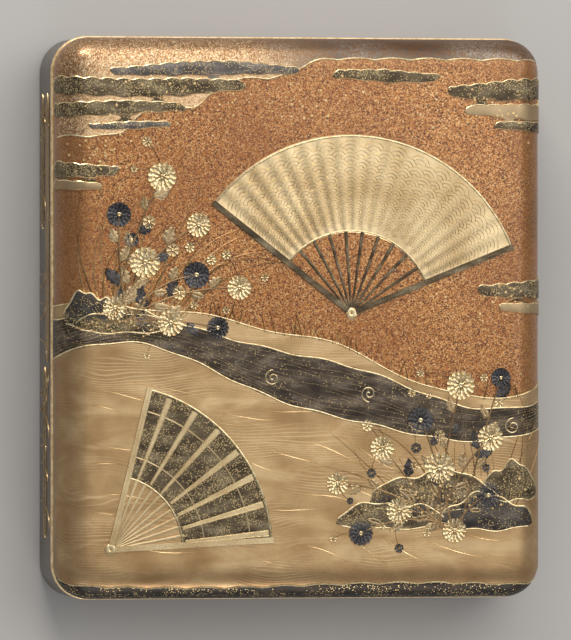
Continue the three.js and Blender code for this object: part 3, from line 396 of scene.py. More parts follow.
LACQUER = finish("sprinkled gold lacquer, dust and painted shade at the sides", nashiji(0.65))
# The base's lacquer: its dust down the walls is painted darker still, as shade on the walls
BASE_LACQUER = finish("sprinkled gold lacquer, painted darker as shade", nashiji(1.0, ("3c332c", "4f443a", "675949")))
FITTING_LACQUER = finish("sprinkled gold lacquer, polished", nashiji(0.0))
MATTE_GOLD = finish("raised lacquer with gold powder", gold_powder("d0ba95", "a8926e"))
PALE_GOLD = finish("raised lacquer with pale gold powder", gold_powder("f0dcb0", "c9af82", 0.33, 0.78))
BROWN_GOLD = finish("raised lacquer with red gold powder", gold_powder("b2946a", "80664a", 0.42))
BANK_GOLD = finish("gold powder in drifts", gold_powder("d8b987", "b18f62", 0.38, 0.66, 0.4))
TURNING_POWDER = finish("gold powder that runs out into silver", turning_powder)
SHEET_GOLD = finish("cut sheet gold, burnished", cut_foil("f3e2b6", "cfb483"))
STREWN_GOLD = finish("cut sheet gold, strewn", cut_foil("ecd09a", "c49f68", 0.36, 0.6))
GILT = finish("gilt metal rim, burnished", cut_foil("ffe6b4", "dcb67c", 0.34, 0.4))
SILVER = finish("silver powder, tarnished", silver_ground(0.0))
WATER_SILVER = finish("silver powder, tarnished dark", silver_ground(0.2, "39322c", "5b5148", "8f8373"))
STARRED_SILVER = finish("tarnished silver powder with cut gold", silver_ground(1.2))
DARK_SILVER = finish("silver powder, blackened", silver_ground(0.5, "3a3735", "57524d", "7b746c"))
# Tarnished silver for the front waves, made nearly black partly as painted shade on the front shoulder
DARK_WAVES = finish("silver powder, brown black, partly painted shade", silver_ground(0.45, "181513", "26211d", "3d352d"))
BLUE_SILVER = finish("silver sheet, tarnished blue", silver_ground(0.0, "3b3a3d", "565558", "7a797c"))
PALE_SILVER = finish("silver sheet, lightly tarnished", silver_ground(0.0, "6d6a66", "8d8b87", "aba9a4"))
GREY_SILVER = finish("silver powder, tarnished blue grey", silver_ground(0.8, "4d4946", "716c68", "9e9891"))
BLACK = finish("black lacquer, hand polished", black_lacquer)
SLATE = finish("slate, honed", slate)
BRONZE = finish("cast bronze, old patina", bronze)
BAMBOO = finish("bamboo, split and rubbed", bamboo)
HAIR = finish("goat hair, drawn to a point", goat_hair)
STEEL = finish("forged steel, ground", steel)
INK = finish("soot ink, pressed in a mould", ink)


# Meshes
def piece(name, surface, finishes, body, stands_for=(), shades=None, sharp=38, weld=False):
    """Puts a computed surface, its points and faces, in the scene, smooth but for edges sharper than the
    angle. Where its patches were made apart, they are welded and turned outwards."""
    points, faces = surface
    mesh = bpy.data.meshes.new(name)
    mesh.from_pydata((np.asarray(points) * MM).tolist(), [], faces)
    for shade in finishes:
        mesh.materials.append(shade)
    if shades is not None:
        mesh.polygons.foreach_set("material_index", np.asarray(shades, dtype=np.int32))
    if weld:
        work = bmesh.new()
        work.from_mesh(mesh)
        bmesh.ops.remove_doubles(work, verts=work.verts, dist=0.002 * MM)
        bmesh.ops.recalc_face_normals(work, faces=work.faces)
        work.to_mesh(mesh)
        work.free()
    mesh.polygons.foreach_set("use_smooth", np.ones(len(mesh.polygons), dtype=bool))
    mesh.set_sharp_from_angle(angle=math.radians(sharp))
    made = bpy.data.objects.new(name, mesh)
    bpy.context.scene.collection.objects.link(made)
    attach(made, body)
    if stands_for:
        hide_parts(*stands_for)


def ring(half, corner, height, steps=12):
    """A rectangle with round corners at one height: four quarter circles, joined by straight sides."""
    angle = np.arange(4)[:, None] * QUARTER + np.linspace(0, QUARTER, steps + 1)
    x = np.array([1, -1, -1, 1])[:, None] * (half[0] - corner) + corner * np.cos(angle)
    y = np.array([1, 1, -1, -1])[:, None] * (half[1] - corner) + corner * np.sin(angle)
    return np.stack([x, y, np.full_like(x, height)], -1).reshape(-1, 3)


def box_ring(inset, height):
    """The box's plan at the rims, drawn in by a distance."""
    return ring(lid_rim_high[:2] - inset, RIM_CORNER - inset, height, 16)


def standing_ring(half, corner, y, centre):
    """The same rectangle stood up across the Y axis. half is across X and up Z."""
    flat = ring((half[1], half[0]), corner, 0, 5)
    return np.stack([centre[0] + flat[:, 1], np.full(len(flat), y), centre[1] + flat[:, 0]], -1)


def loft(rings, hoop=False):
    """A skin through rings of equal count, with flat ends, or joined end to start as a hoop's section."""
    rings = np.asarray(rings)
    layers, count, _ = rings.shape
    index = np.arange(layers * count).reshape(layers, count)
    low = index if hoop else index[:-1]
    high = np.roll(index, -1, axis=0) if hoop else index[1:]
    quads = np.stack([low, np.roll(low, -1, 1), np.roll(high, -1, 1), high], -1).reshape(-1, 4)
    faces = quads.tolist()
    if not hoop:
        faces += [index[0][::-1].tolist(), index[-1].tolist()]
    return rings.reshape(-1, 3), faces


def turned(profile, centre, steps=40, ripple=0.0, ripples=1):
    """A lathe's surface about a line along Y. The profile's points are (radius, y), and the ripple is a
    share of the radius by which it swells and dips round the line."""
    profile = np.asarray(profile, dtype=float)
    angle = np.linspace(0, 2 * math.pi, steps, endpoint=False)
    radius = np.maximum(profile[:, :1], 0.01) * (1 - ripple * (0.5 + 0.5 * np.cos(ripples * angle)))
    x = centre[0] + radius * np.sin(angle)
    z = centre[1] + radius * np.cos(angle)
    y = np.broadcast_to(profile[:, 1:], x.shape)
    return loft(np.stack([x, y, z], -1))


def quarter_steps(count):
    """Sines and versed sines of a quarter turn."""
    angle = np.linspace(0, QUARTER, count + 1)
    return list(zip(np.sin(angle), 1 - np.cos(angle)))


def rounding(place, radius, inset, z, steps=4):
    """A quarter round at a wall's foot, at its brim, at the brim of its inner face or at the floor inside, as
    each ring's inset and height: sines and versed sines of the quarter turn."""
    sine, versed = np.array(quarter_steps(steps)).T
    towards = {
        "foot": (1 - sine, versed),
        "brim": (versed, sine - 1),
        "inner brim": (sine - 1, -versed),
        "floor": (versed, 1 - sine),
    }
    across, up = towards[place]
    return list(zip(inset + radius * across, z + radius * up))


class Patches:
    """Patches that share one mesh. Their faces count all patches' points, and each patch has one of the
    finishes, by default the first."""

    def __init__(self, *finishes):
        self.finishes = finishes
        self.points, self.faces, self.shades, self.count = [], [], [], 0

    def put(self, points, faces, shade):
        self.points.append(points.reshape(-1, 3))
        self.faces += faces
        self.shades += [self.finishes.index(shade) if shade else 0] * len(faces)
        self.count += len(self.points[-1])

    def done(self, name, slot, stands_for=(), body="lid", sharp=None):
        surface = (np.concatenate(self.points), self.faces)
        sharp = sharp or self.sharp
        piece(name, surface, self.finishes, body, stands_for, self.shades, sharp, self.weld)


class Skin(Patches):
    """Patches that are welded into one closed surface: grids of quads, bands between loops, and caps."""

    sharp, weld = 38, True

    def grid(self, points, shade=None, keep=None, closed=False):
        """Quads of a grid of points. keep says which of them are made, and closed joins the last column
        to the first."""
        rows, columns, _ = points.shape
        index = self.count + np.arange(rows * columns).reshape(rows, columns)
        if closed:
            index = np.concatenate([index, index[:, :1]], 1)
        quads = np.stack([index[:-1, :-1], index[:-1, 1:], index[1:, 1:], index[1:, :-1]], -1)
        quads = quads.reshape(-1, 4) if keep is None else quads[keep]
        self.put(points, quads.tolist(), shade)

    def band(self, loops):
        self.grid(np.array(loops), closed=True)

    def cap(self, loop, shade=None):
        self.put(loop, [(self.count + np.arange(len(loop))).tolist()], shade)

    def block(self, plates):
        """The bottom and the walls through plates that lie one over another. Gives back the top plate."""
        self.grid(plates[0])
        self.band([edge_of(p) for p in plates])
        return plates[-1]


def plate(half, corner, height, centre=(0, 0), columns=9, straight=14, arc=6):
    """A grid over a rectangle with round corners. Its rows are closer round the corners, and each is as
    wide as the rectangle is there, by the circle's equation, with columns closer to the sides."""
    bend = np.sin(np.linspace(0, QUARTER, arc + 1)) * corner
    run = half[1] - corner
    y = np.concatenate([-run - bend[::-1], np.linspace(-run, run, straight)[1:-1], run + bend])
    past = np.maximum(np.abs(y) - run, 0)
    wide = half[0] - corner + np.sqrt(np.maximum(corner**2 - past**2, 0))
    x = wide[:, None] * np.sin(np.linspace(-QUARTER, QUARTER, columns))
    grid = np.stack(np.broadcast_arrays(x, y[:, None], height), -1)
    return grid + np.array([*centre, 0])


def edge_of(grid):
    """The loop of points round a grid."""
    return np.concatenate([grid[0, :-1], grid[:-1, -1], grid[-1, :0:-1], grid[:0:-1, 0]])


def edge_towards(loop, centre, half, corner):
    """Where the lines from a centre to the loop's points cross a rounded rectangle about that centre. The
    crossing is found by halving the line, as the distance from the rectangle changes its sign there."""
    away = loop[:, :2] - np.array(centre)
    run = np.linalg.norm(away, axis=1, keepdims=True)
    away = away / run
    near, far = np.zeros_like(run), np.full_like(run, 2 * max(half))
    for _ in range(30):
        guess = (near + far) / 2
        past = np.abs(away * guess) - (np.array(half) - corner)
        outside = np.linalg.norm(np.maximum(past, 0), axis=1, keepdims=True)
        inside = outside + np.minimum(past.max(1, keepdims=True), 0) < corner
        near, far = np.where(inside, guess, near), np.where(inside, far, guess)
    return np.array(centre) + away * near


def at_height(flat, height):
    return np.column_stack([flat, np.broadcast_to(height, len(flat))])


# The box itself
def make_lid():
    """Shell: up inside to the ceiling and down to the edge, then up outside and round the shoulder."""
    inside = rim_proud + LID_WALL
    reach, rise = SHOULDER - LID_WALL, lid_top - LID_ROOF - shoulder_foot
    hollow = [(inside + reach * c, shoulder_foot + rise * s) for s, c in quarter_steps(12)]
    shoulder = [(rim_proud + SHOULDER * c, shoulder_foot + SHOULDER * s) for s, c in quarter_steps(20)]
    path = [*hollow[::-1], (inside, lid_edge), (rim_proud, lid_edge), *shoulder]
    surface = loft([box_ring(inset, z) for inset, z in path])
    piece("lid_shell", surface, [LACQUER], "lid", ["lid"])


def make_base():
    """Shell: foot, rounded lower edge, wall, ledge, lip, and down inside to the floor."""
    lip_face, inside = rim_proud + BASE_WALL - LIP, rim_proud + BASE_WALL
    foot, ledge = rim_proud + FOOT_ROUND + FOOT_WIDTH, base_rim_low[2]
    path = [(foot, FOOT_RECESS), (foot - FOOT_RECESS, 0)]
    path += rounding("foot", FOOT_ROUND, rim_proud, 0, 8) + [(rim_proud, ledge), (lip_face, ledge)]
    path += rounding("brim", LIP_ROUND, lip_face, base_high[2])
    path += rounding("inner brim", LIP_ROUND, inside, base_high[2])
    path += rounding("floor", LIP_ROUND, inside, FLOOR_TOP)
    surface = loft([box_ring(inset, z) for inset, z in path])
    piece("base_shell", surface, [BASE_LACQUER], "base", ["base_box"])


def make_rim(name, body, node):
    """A hoop whose outer face is a half-round bead, as deep as the wall that it covers."""
    low, high, _, half = extent(node)
    depth = rim_proud + LID_WALL
    turns = np.linspace(-QUARTER, QUARTER, 13)
    bead = [(rim_proud * (1 - math.cos(t)), low[2] + half[2] * (1 + math.sin(t))) for t in turns]
    rings = [box_ring(inset, z) for inset, z in ((depth, low[2]), *bead, (depth, high[2]))]
    piece(name, loft(rings, hoop=True), [GILT], body, [node], sharp=60)


# Raised design: thin closed bodies on a flat sheet that is laid over the box and pressed down its sides.
# On the lid nothing rises more than the metal flowers do, and on the sides no more than the rims do.
SINK = 0.12
EDGE_GAP = 0.6
LINE = (np.array([-1.0, 0.0, 1.0]), np.array([0.0, 1.0, 0.0]))
ROUND = (np.array([-1.0, -0.72, 0.0, 0.72, 1.0]), np.array([0.0, 0.75, 1.0, 0.75, 0.0]))
PLATE = (np.array([-1.0, -0.9, 0.9, 1.0]), np.array([0.0, 1.0, 1.0, 0.0]))


def on_box(sheet, height):
    """Inside the flat panel a point keeps its place. A distance past the panel's outline, it goes round the
    shoulder's quarter circle by that much arc, and then straight down. Height is along the normal."""
    corner = np.maximum(np.abs(sheet) - corner_middle, 0)
    reach = np.linalg.norm(corner, axis=-1, keepdims=True)
    outward = np.sign(sheet) * corner / np.maximum(reach, 1e-9)
    past = np.maximum(reach - flat_corner, 0)
    angle = np.minimum(past / SHOULDER, QUARTER)
    swing = SHOULDER + height[..., None]
    plan = sheet + outward * (swing * np.sin(angle) - past)
    rise = shoulder_foot + swing * np.cos(angle) - (past - SHOULDER * angle)
    return np.concatenate([plan, rise], -1)


class Relief(Patches):
    """Raised bodies that share one mesh, each a grid of points on the sheet with a closed underside."""

    sharp, weld = 30, False

    def add(self, sheet, height, shade=None, deep=False):
        """sheet is [bodies,] rows, columns, 2 and height is the same without the last. The underside joins
        the columns' two ends straight, or follows the box's surface where the body is deep."""
        sheet = np.array(sheet, dtype=float)
        sheet = sheet.reshape(-1, *sheet.shape[-3:])
        height = np.broadcast_to(height, sheet.shape[:-1]).copy()
        down = np.diff(sheet, axis=1)[:, :, :-1]
        across = np.diff(sheet, axis=2)[:, :-1]
        turn = (down[..., 0] * across[..., 1] - down[..., 1] * across[..., 0]).sum((1, 2))
        wrong = turn < 0
        sheet[wrong] = sheet[wrong][:, :, ::-1]
        height[wrong] = height[wrong][:, :, ::-1]
        if deep:
            sheet = np.concatenate([sheet, sheet[:, :, -2:0:-1]], 2)
            height = np.concatenate([height, np.full_like(height[:, :, -2:0:-1], -SINK)], 2)
        index = self.count + np.arange(height.size).reshape(height.shape)
        loop = np.concatenate([index, index[:, :, :1]], 2)
        quads = np.stack([loop[:, :-1, :-1], loop[:, 1:, :-1], loop[:, 1:, 1:], loop[:, :-1, 1:]], -1)
        faces = quads.reshape(-1, 4).tolist() + index[:, 0].tolist() + index[:, -1, ::-1].tolist()
        self.put(on_box(sheet, height), faces, shade)

    def stroke(self, path, half_width, lift, shade=None, section=ROUND):
        """A raised line: the section's shares of the half width to each side of the path, lifted."""
        path = np.asarray(path, dtype=float)
        run = np.gradient(path, axis=-2)
        run /= np.maximum(np.linalg.norm(run, axis=-1, keepdims=True), 1e-9)
        side = places(-run[..., 1], run[..., 0])
        width = np.broadcast_to(half_width, path.shape[:-1])[..., None]
        lifted = np.broadcast_to(lift, path.shape[:-1])[..., None]
        sheet = path[..., None, :] + side[..., None, :] * (width * section[0])[..., None]
        self.add(sheet, lifted * section[1] - SINK * (section[1] == 0), shade)


def places(x, y):
    """Points on the sheet, from their two coordinates."""
    return np.stack(np.broadcast_arrays(x, y), -1)


def unit(angle):
    return places(np.cos(angle), np.sin(angle))


def around(centre, radius, angle):
    """Points at angles round a centre."""
    return centre + np.asarray(radius)[..., None] * unit(angle)


def curve(start, bend, end, steps=24):
    """A quadratic curve from start to end, drawn towards bend."""
    t = np.linspace(0, 1, steps)[:, None]
    return (1 - t) ** 2 * np.array(start) + 2 * t * (1 - t) * np.array(bend) + t**2 * np.array(end)


def between(low, high, share):
    """Rows of places from one line to another, at shares of the way."""
    return low[:, None] * (1 - share) + high[:, None] * share


def far_side(along, axis, reach=lid_edge_reach - EDGE_GAP):
    """How far the sheet goes along one axis at a place along the other: straight sides, and circles round
    the corners' middles, by the circle's equation."""
    bend = flat_corner + reach
    past = np.clip(np.abs(along) - corner_middle[1 - axis], 0, bend)
    return corner_middle[axis] + np.sqrt(bend**2 - past**2)


def across_lid(count, reach=lid_edge_reach - EDGE_GAP):
    """Places along X over the whole lid, closer together over the shoulders."""
    bend = (flat_corner + reach) * np.sin(np.linspace(0, QUARTER, 15)[1:])
    run = corner_middle[0]
    return np.concatenate([-run - bend[::-1], np.linspace(-run, run, count), run + bend])


# The design's main forms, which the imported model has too. Places are shares of the flat panel, and lengths
# are shares of half its width.
# Bands of mist, each group's from the lowest up: start, end, middle line, half the height, and finish
MISTS = {
    "top_left_mist": (
        (-1, -0.62, 0.765, 0.02, GREY_SILVER),
        (-1.2, -0.55, 0.83, 0.029, STARRED_SILVER),
        (-1.2, -0.27, 0.92, 0.037, STARRED_SILVER),
        (-0.9, -0.02, 0.985, 0.027, GREY_SILVER),
    ),
    "left_mist": (
        (-1.2, -0.94, 0.52, 0.024, MATTE_GOLD),
        (-1.2, -0.86, 0.59, 0.035, STARRED_SILVER),
    ),
    "top_middle_mist": ((0.14, 0.64, 0.965, 0.029, STARRED_SILVER),),
    "top_right_mist": (
        (0.9, 1.2, 0.765, 0.025, STARRED_SILVER),
        (0.76, 1.2, 0.825, 0.033, MATTE_GOLD),
        (0.68, 1.2, 0.91, 0.043, STARRED_SILVER),
    ),
    "right_mist": (
        (0.92, 1.2, 0.045, 0.027, MATTE_GOLD),
        (0.82, 1.2, 0.116, 0.039, STARRED_SILVER),
    ),
}
# Necks, each of which joins a band to the next one up: place, and half the waist
MIST_NECKS = {
    "top_left_mist": (-0.83, -0.68, -0.42),
    "left_mist": (-1,),
    "top_middle_mist": (),
    "top_right_mist": (0.97, 0.84),
    "right_mist": (1.01,),
}
MIST_WAIST = 0.025
# Fans: pivot, the leaf's inner and outer radius, and the angles that it spans in degrees
GREAT_FAN = ((0.226, 0.018), (0.37, 0.821), (22, 142))
STRIPED_FAN = ((-0.9, -0.92), (0.329, 0.76), (3, 76))
# Rocks: middle, half the width, height, phase of the outline, and finish
ROCKS = {
    "left_rocks": (
        ((-1, -0.01), 0.123, 0.123, 3.3, DARK_SILVER),
        ((-0.84, -0.04), 0.226, 0.087, 1.4, STARRED_SILVER),
    ),
    "right_rocks": (
        ((0.98, -0.7), 0.14, 0.13, 1, STARRED_SILVER),
        ((0.62, -0.74), 0.308, 0.144, 0.6, STARRED_SILVER),
        ((0.86, -0.82), 0.226, 0.123, 2.1, DARK_SILVER),
        ((0.41, -0.82), 0.257, 0.092, 4, STARRED_SILVER),
    ),
}
# Small flowers between the metal ones: place, and diameter in millimetres
BUDS = (
    (-0.61, 0.27, 6), (-0.74, 0.06, 3.5), (-0.73, -0.15, 3), (-0.43, 0.23, 4.5), (0.59, -0.31, 3),
    (0.86, -0.6, 3.5), (0.52, -0.59, 3.5), (0.37, -0.83, 3), (0.24, -0.67, 3.5), (0.76, -0.77, 4),
    (-0.72, 0.38, 6), (-0.58, 0.1, 6), (0.51, -0.3, 3.5), (0.22, -0.73, 3), (-0.73, 0.7, 4.5),
    (-0.53, 0.28, 4.5), (-0.77, 0.13, 3), (-0.76, 0.01, 4.5), (0.85, -0.24, 3.5), (0.3, -0.43, 5),
    (0.64, -0.47, 5), (0.45, -0.92, 4), (0.58, -0.86, 3.5), (-0.36, 0.25, 4), (-0.36, 0.03, 3.5),
    (0.53, -0.52, 4.5), (0.14, -0.88, 3.5), (0.92, -0.34, 4), (-0.79, 0.59, 3), (-0.8, 0.31, 6),
    (-0.51, 0.05, 3.5), (-0.18, 0.16, 3.5), (0.55, -0.22, 3.5), (0.32, -0.62, 4),
)


# Gold bank and clouds: large low masses that run over the lid's sides
def bank_line(x):
    """The bank's upper edge: the stream's, a little higher, with low hills."""
    return stream_middle(x) + stream_half(x) + 6 + 2.5 * np.sin(x / 23 + 2) + 1.2 * np.sin(x / 9)


def cloud_line(x):
    """The lower edge of the gold at the back left: steps up from the left to the middle."""
    steps = 12 / (1 + np.exp(-(x + 78) / 3)) + 14 / (1 + np.exp(-(x + 42) / 3.5))
    return 80 + steps + 9 / (1 + np.exp(-(x + 2) / 4)) + 1.1 * np.abs(np.sin(x / 5.2))


def mass(relief, x, low, high, lift, shade, trim_side=1):
    """A low plate between two lines, eased at its borders, with a raised trim along one of them."""
    share = np.concatenate([[0, 0.004], np.linspace(0.012, 0.99, 68), [0.996, 1]])
    height = np.full(len(share), lift)
    height[[0, -1]] = -SINK
    relief.add(places(x[:, None], between(low, high, share)), height, shade, deep=True)
    line = places(x, high if trim_side > 0 else low)
    relief.stroke(line[2:-2], 0.42, lift + 0.2, SHEET_GOLD)


def make_masses():
    """The bank, the cloud at the back, the drawn lines on the bank, and the dark waves at the front."""
    relief = Relief(BANK_GOLD, TURNING_POWDER, SHEET_GOLD, PALE_GOLD, DARK_WAVES)
    x = across_lid(90)
    mass(relief, x, -far_side(x, 1), bank_line(x), 0.2, BANK_GOLD)
    reach = SHOULDER * 1.3
    x = across_lid(90, reach)
    back = far_side(x, 1, reach)
    x, back = (values[cloud_line(x) < back - 1] for values in (x, back))
    mass(relief, x, cloud_line(x), back, 0.2, TURNING_POWDER, -1)
    for row in range(1, 13):
        run = np.linspace(-96, 96, 90)
        line = bank_line(run) - 30 - row * (5 + 0.25 * row) + 2.2 * np.sin(run / 14 + row * 0.9)
        shown = (np.sin(run / 9 + 2.1 * row) > -0.35) & (line > -110)
        cuts = np.flatnonzero(np.diff(np.concatenate([[0], shown.astype(int), [0]])))
        for start, end in zip(cuts[::2], cuts[1::2]):
            if end - start > 4:
                thick = 0.5 * np.sin(np.linspace(0.15, math.pi - 0.15, end - start))
                relief.stroke(places(run, line)[start:end], thick, 0.42, PALE_GOLD, LINE)
    # The dark band of waves over the front shoulder: partly a design, and partly painted shade where that
    # shoulder turns from the lamps
    x = across_lid(90)
    low = -far_side(x, 1)
    crests = -flat_panel[1] - 8.4 + 1.1 * np.abs(np.sin(x / 5.6)) + 1.2 * np.sin(x / 31)
    x, low, crests = (values[low < crests - 1] for values in (x, low, crests))
    mass(relief, x, low, crests, 0.3, DARK_WAVES)
    relief.done("gold_bank_and_cloud", "raised_gold_powder")


def mist(relief, start, end, level, half, shade):
    """A bar of mist: a long band whose lower line wavers and whose upper line is scalloped, by the absolute
    value of a sine, and which narrows over 30 mm towards each round end. An end past the lid's edge is cut
    square, because the bar goes on over the side."""
    limit = flat_panel[0] + lid_edge_reach - EDGE_GAP
    left, right = max(start, -limit), min(end, limit)
    x = left + (right - left) * (1 - np.cos(np.linspace(0, math.pi, 151))) / 2
    from_left = np.full_like(x, half) if start < -limit else np.minimum(x - left, half)
    from_right = np.full_like(x, half) if end > limit else np.minimum(right - x, half)
    closing = np.minimum(from_left, from_right) / half
    side = flat_panel[0] * 1.1
    away = np.minimum(x - left if start > -side else 30, right - x if end < side else 30)
    swell = half * np.sqrt(np.maximum(1 - (1 - closing) ** 2, 0.0004))
    swell *= 0.5 + 0.5 * np.minimum(away / 30, 1)
    middle = level + 0.9 * np.sin(x / 19 + level) * closing
    low = places(x, middle - swell * (1 + 0.22 * np.sin(x / 4.1 + level) ** 2))
    high = places(x, middle + swell * (0.96 + 0.24 * np.abs(np.sin(x / 2.3 + level))))
    share = np.array([0, 0.04, 0.2, 0.5, 0.8, 0.96, 1])
    lift = np.array([-SINK, 0.36, 0.42, 0.44, 0.42, 0.36, -SINK])
    relief.add(between(low, high, share[:, None]), lift, shade)
    relief.stroke(high, 0.3, 0.52, SHEET_GOLD)
    relief.stroke(low, 0.2, 0.46, BROWN_GOLD)


def neck(relief, place, below, above):
    """The short waisted bar between two bands of mist, a little lower than they are. Its half width grows
    with the square of the distance from its middle, so it flares out into both."""
    wide = flat_panel[0]
    t = np.linspace(-1, 1, 13)
    start = below[2] * flat_panel[1] + below[3] * wide * 0.8
    end = above[2] * flat_panel[1] - above[3] * wide * 0.8
    half = MIST_WAIST * wide * (0.8 + 1.6 * t**2)
    path = places(place * wide, start + (end - start) * (t + 1) / 2)
    relief.stroke(path, half, 0.38, above[4], PLATE)
    for side in (-1, 1):
        relief.stroke(path + places(side * half, 0), 0.2, 0.44, BROWN_GOLD)


def make_mist():
    wide = flat_panel[0]
    for name, bands in MISTS.items():
        relief = Relief(STARRED_SILVER, MATTE_GOLD, GREY_SILVER, SHEET_GOLD, BROWN_GOLD)
        for start, end, level, half, shade in bands:
            mist(relief, start * wide, end * wide, level * flat_panel[1], half * wide, shade)
        for place, below, above in zip(MIST_NECKS[name], bands, bands[1:]):
            neck(relief, place, below, above)
        relief.done(name + "_bands", "raised_silver_powder", [name])


def stream_middle(x):
    """The stream's middle line: it comes in high on the left and bends down to the right."""
    return -26 - 19 * np.tanh((x + 6) / 42) + 3.4 * np.sin(x / 17)


def stream_half(x):
    return 9.5 + 3 * np.sin(x / 29 + 1.1)


def make_stream():
    """A band of dark silver, with raised gold lines that follow its flow and curl at places."""
    relief = Relief(WATER_SILVER, SHEET_GOLD)
    reach = flat_panel[0] + lid_edge_reach - EDGE_GAP
    x = np.linspace(-reach, reach, 120)
    share = np.array([-1, -0.97, -0.6, -0.2, 0.2, 0.6, 0.97, 1])
    lift = np.array([-SINK, 0.28, 0.32, 0.34, 0.34, 0.32, 0.28, -SINK])
    y = stream_middle(x)[:, None] + stream_half(x)[:, None] * share
    relief.add(places(x[:, None], y), lift)
    lines = 13
    for row in range(lines):
        level = -0.96 + 1.92 * row / (lines - 1)
        inner = row not in (0, lines - 1)
        cuts = [-reach, reach]
        if inner:
            cuts = np.sort(np.concatenate([cuts, rng.uniform(-reach, reach, 4)]))
        for start, end in zip(cuts[:-1], cuts[1:]):
            if inner and end - start < 12:
                continue
            steps = max(int((end - start) / 2.2), 6)
            trim = rng.uniform(1.5, 5) if inner else 0
            run = np.linspace(start + trim, end - trim, steps)
            wave = stream_middle(run) + stream_half(run) * level + 0.5 * np.sin(run / 4.3 + row)
            from_end = np.minimum(np.arange(steps), steps - 1 - np.arange(steps))
            width = 0.34 * np.minimum(1, from_end / 3 + 0.15) if inner else 0.45
            relief.stroke(places(run, wave), width, 0.5, SHEET_GOLD, LINE if inner else ROUND)
    for x0, turn in ((-70, 1), (-14, -1), (30, 1), (96, -1)):
        spin = np.linspace(0.4, 11, 46)
        eye = np.array([x0, stream_middle(x0) + turn * 2])
        relief.stroke(around(eye, 0.34 * spin, turn * spin), 0.36, 0.54, SHEET_GOLD)
    relief.done("stream", "raised_silver_powder")


# Folding fans
def fan(node, form, folds, finishes, slot, pattern):
    """An open fan. Its leaf is a ring's sector whose height goes up and down with the folds, and its ribs
    are lines from the pivot to the leaf. finishes are those of the leaf, the ribs, the lines and the
    border."""
    place, radii, span = form
    pivot = np.array(place) * flat_panel
    inner, outer = np.array(radii) * flat_panel[0]
    first, last = np.radians(span)
    relief = Relief(*finishes)
    _, rib, line, border = finishes
    angle = np.linspace(first, last, folds * 4 + 1)
    share = np.array([0, 0.012, 0.06, 0.3, 0.6, 0.94, 0.988, 1])
    radius = inner + (outer - inner) * share
    zigzag = np.abs((np.arange(folds * 4 + 1) / 2) % 2 - 1)
    edge = (share > 0) & (share < 1)
    height = np.where(edge, 0.34 + 0.24 * zigzag[:, None], -SINK)
    relief.add(around(pivot, radius, angle[:, None]), height)
    paths = around(pivot, np.linspace(3, inner + 2, 6), np.linspace(first, last, 11)[:, None])
    relief.stroke(paths, np.linspace(0.45, 0.9, 6), 0.5, rib)
    for side in (first, last):
        guard = around(pivot, np.linspace(2, outer, 12), side)
        relief.stroke(guard, 1.4, 0.72, rib, PLATE)
        relief.stroke(guard, 0.3, 0.84, border, LINE)
    for rim, width in ((inner + 0.8, 0.5), (outer - 0.9, 0.6)):
        relief.stroke(around(pivot, rim, angle), width, 0.74, border)
    relief.stroke(around(pivot, 1.5, np.linspace(0, 2 * math.pi, 17)), 1.4, 0.84, border)
    pattern(relief, pivot, first, last, inner, outer, line, border)
    relief.done(node + "_leaf_and_ribs", slot, [node])


def wave_scales(count):
    """The traditional pattern of overlapping waves: rows of three arcs one within another, each row half a
    wave along from the last. An arc runs from 34 to 146 degrees, the part that the row in front leaves, and
    a row's size grows with its distance from the pivot, so that all rows have the same count."""

    def draw(relief, pivot, first, last, inner, outer, line, border):
        sweep = np.radians(np.linspace(34, 146, 9))
        step = (last - first) / count
        level = inner + 2.5
        row = 0
        while level * (1 + step / 2) < outer - 1.5:
            size = level * step / 2
            angle = first + step * (np.arange(count - row % 2) + 0.5 + 0.5 * (row % 2))
            out = unit(angle)[:, None]
            side = places(out[..., 1], -out[..., 0])
            for part in (1.0, 0.66, 0.33):
                arc = size * part * unit(sweep)
                path = pivot + level * out + arc[:, :1] * side + arc[:, 1:] * out
                width, shade = (0.24, line) if part < 1 else (0.36, border)
                relief.stroke(path, width, 0.74, shade, LINE)
            level += size / 2
            row += 1

    return draw


def stripes(count):
    """Bands of gold across the leaf, from its inner to its outer edge, between every other pair of folds,
    each with two raised lines."""

    def draw(relief, pivot, first, last, inner, outer, line, border):
        step = (last - first) / count
        radius = np.linspace(inner + 2, outer - 2, 8)
        angles = first + step * (np.arange(0, count, 2) + 0.5)
        paths = around(pivot, radius, angles[:, None])
        relief.stroke(paths, 0.24 * step * radius, 0.72, line, PLATE)
        for rail in (0.25, 0.75):
            arc = np.linspace(first + step * 0.3, last - step * 0.3, 40)
            relief.stroke(around(pivot, inner + (outer - inner) * rail, arc), 0.4, 0.8, line)
        for aside in (-0.17, 0.17):
            lines = around(pivot, radius, (angles + aside * step)[:, None])
            relief.stroke(lines, 0.26, 0.84, border)

    return draw


def make_fans():
    great = [PALE_GOLD, SILVER, BROWN_GOLD, SHEET_GOLD]
    fan("great_fan", GREAT_FAN, 20, great, "raised_gold_powder", wave_scales(14))
    dark = [STARRED_SILVER, PALE_GOLD, PALE_GOLD, SHEET_GOLD]
    fan("striped_fan", STRIPED_FAN, 14, dark, "raised_silver_powder", stripes(14))


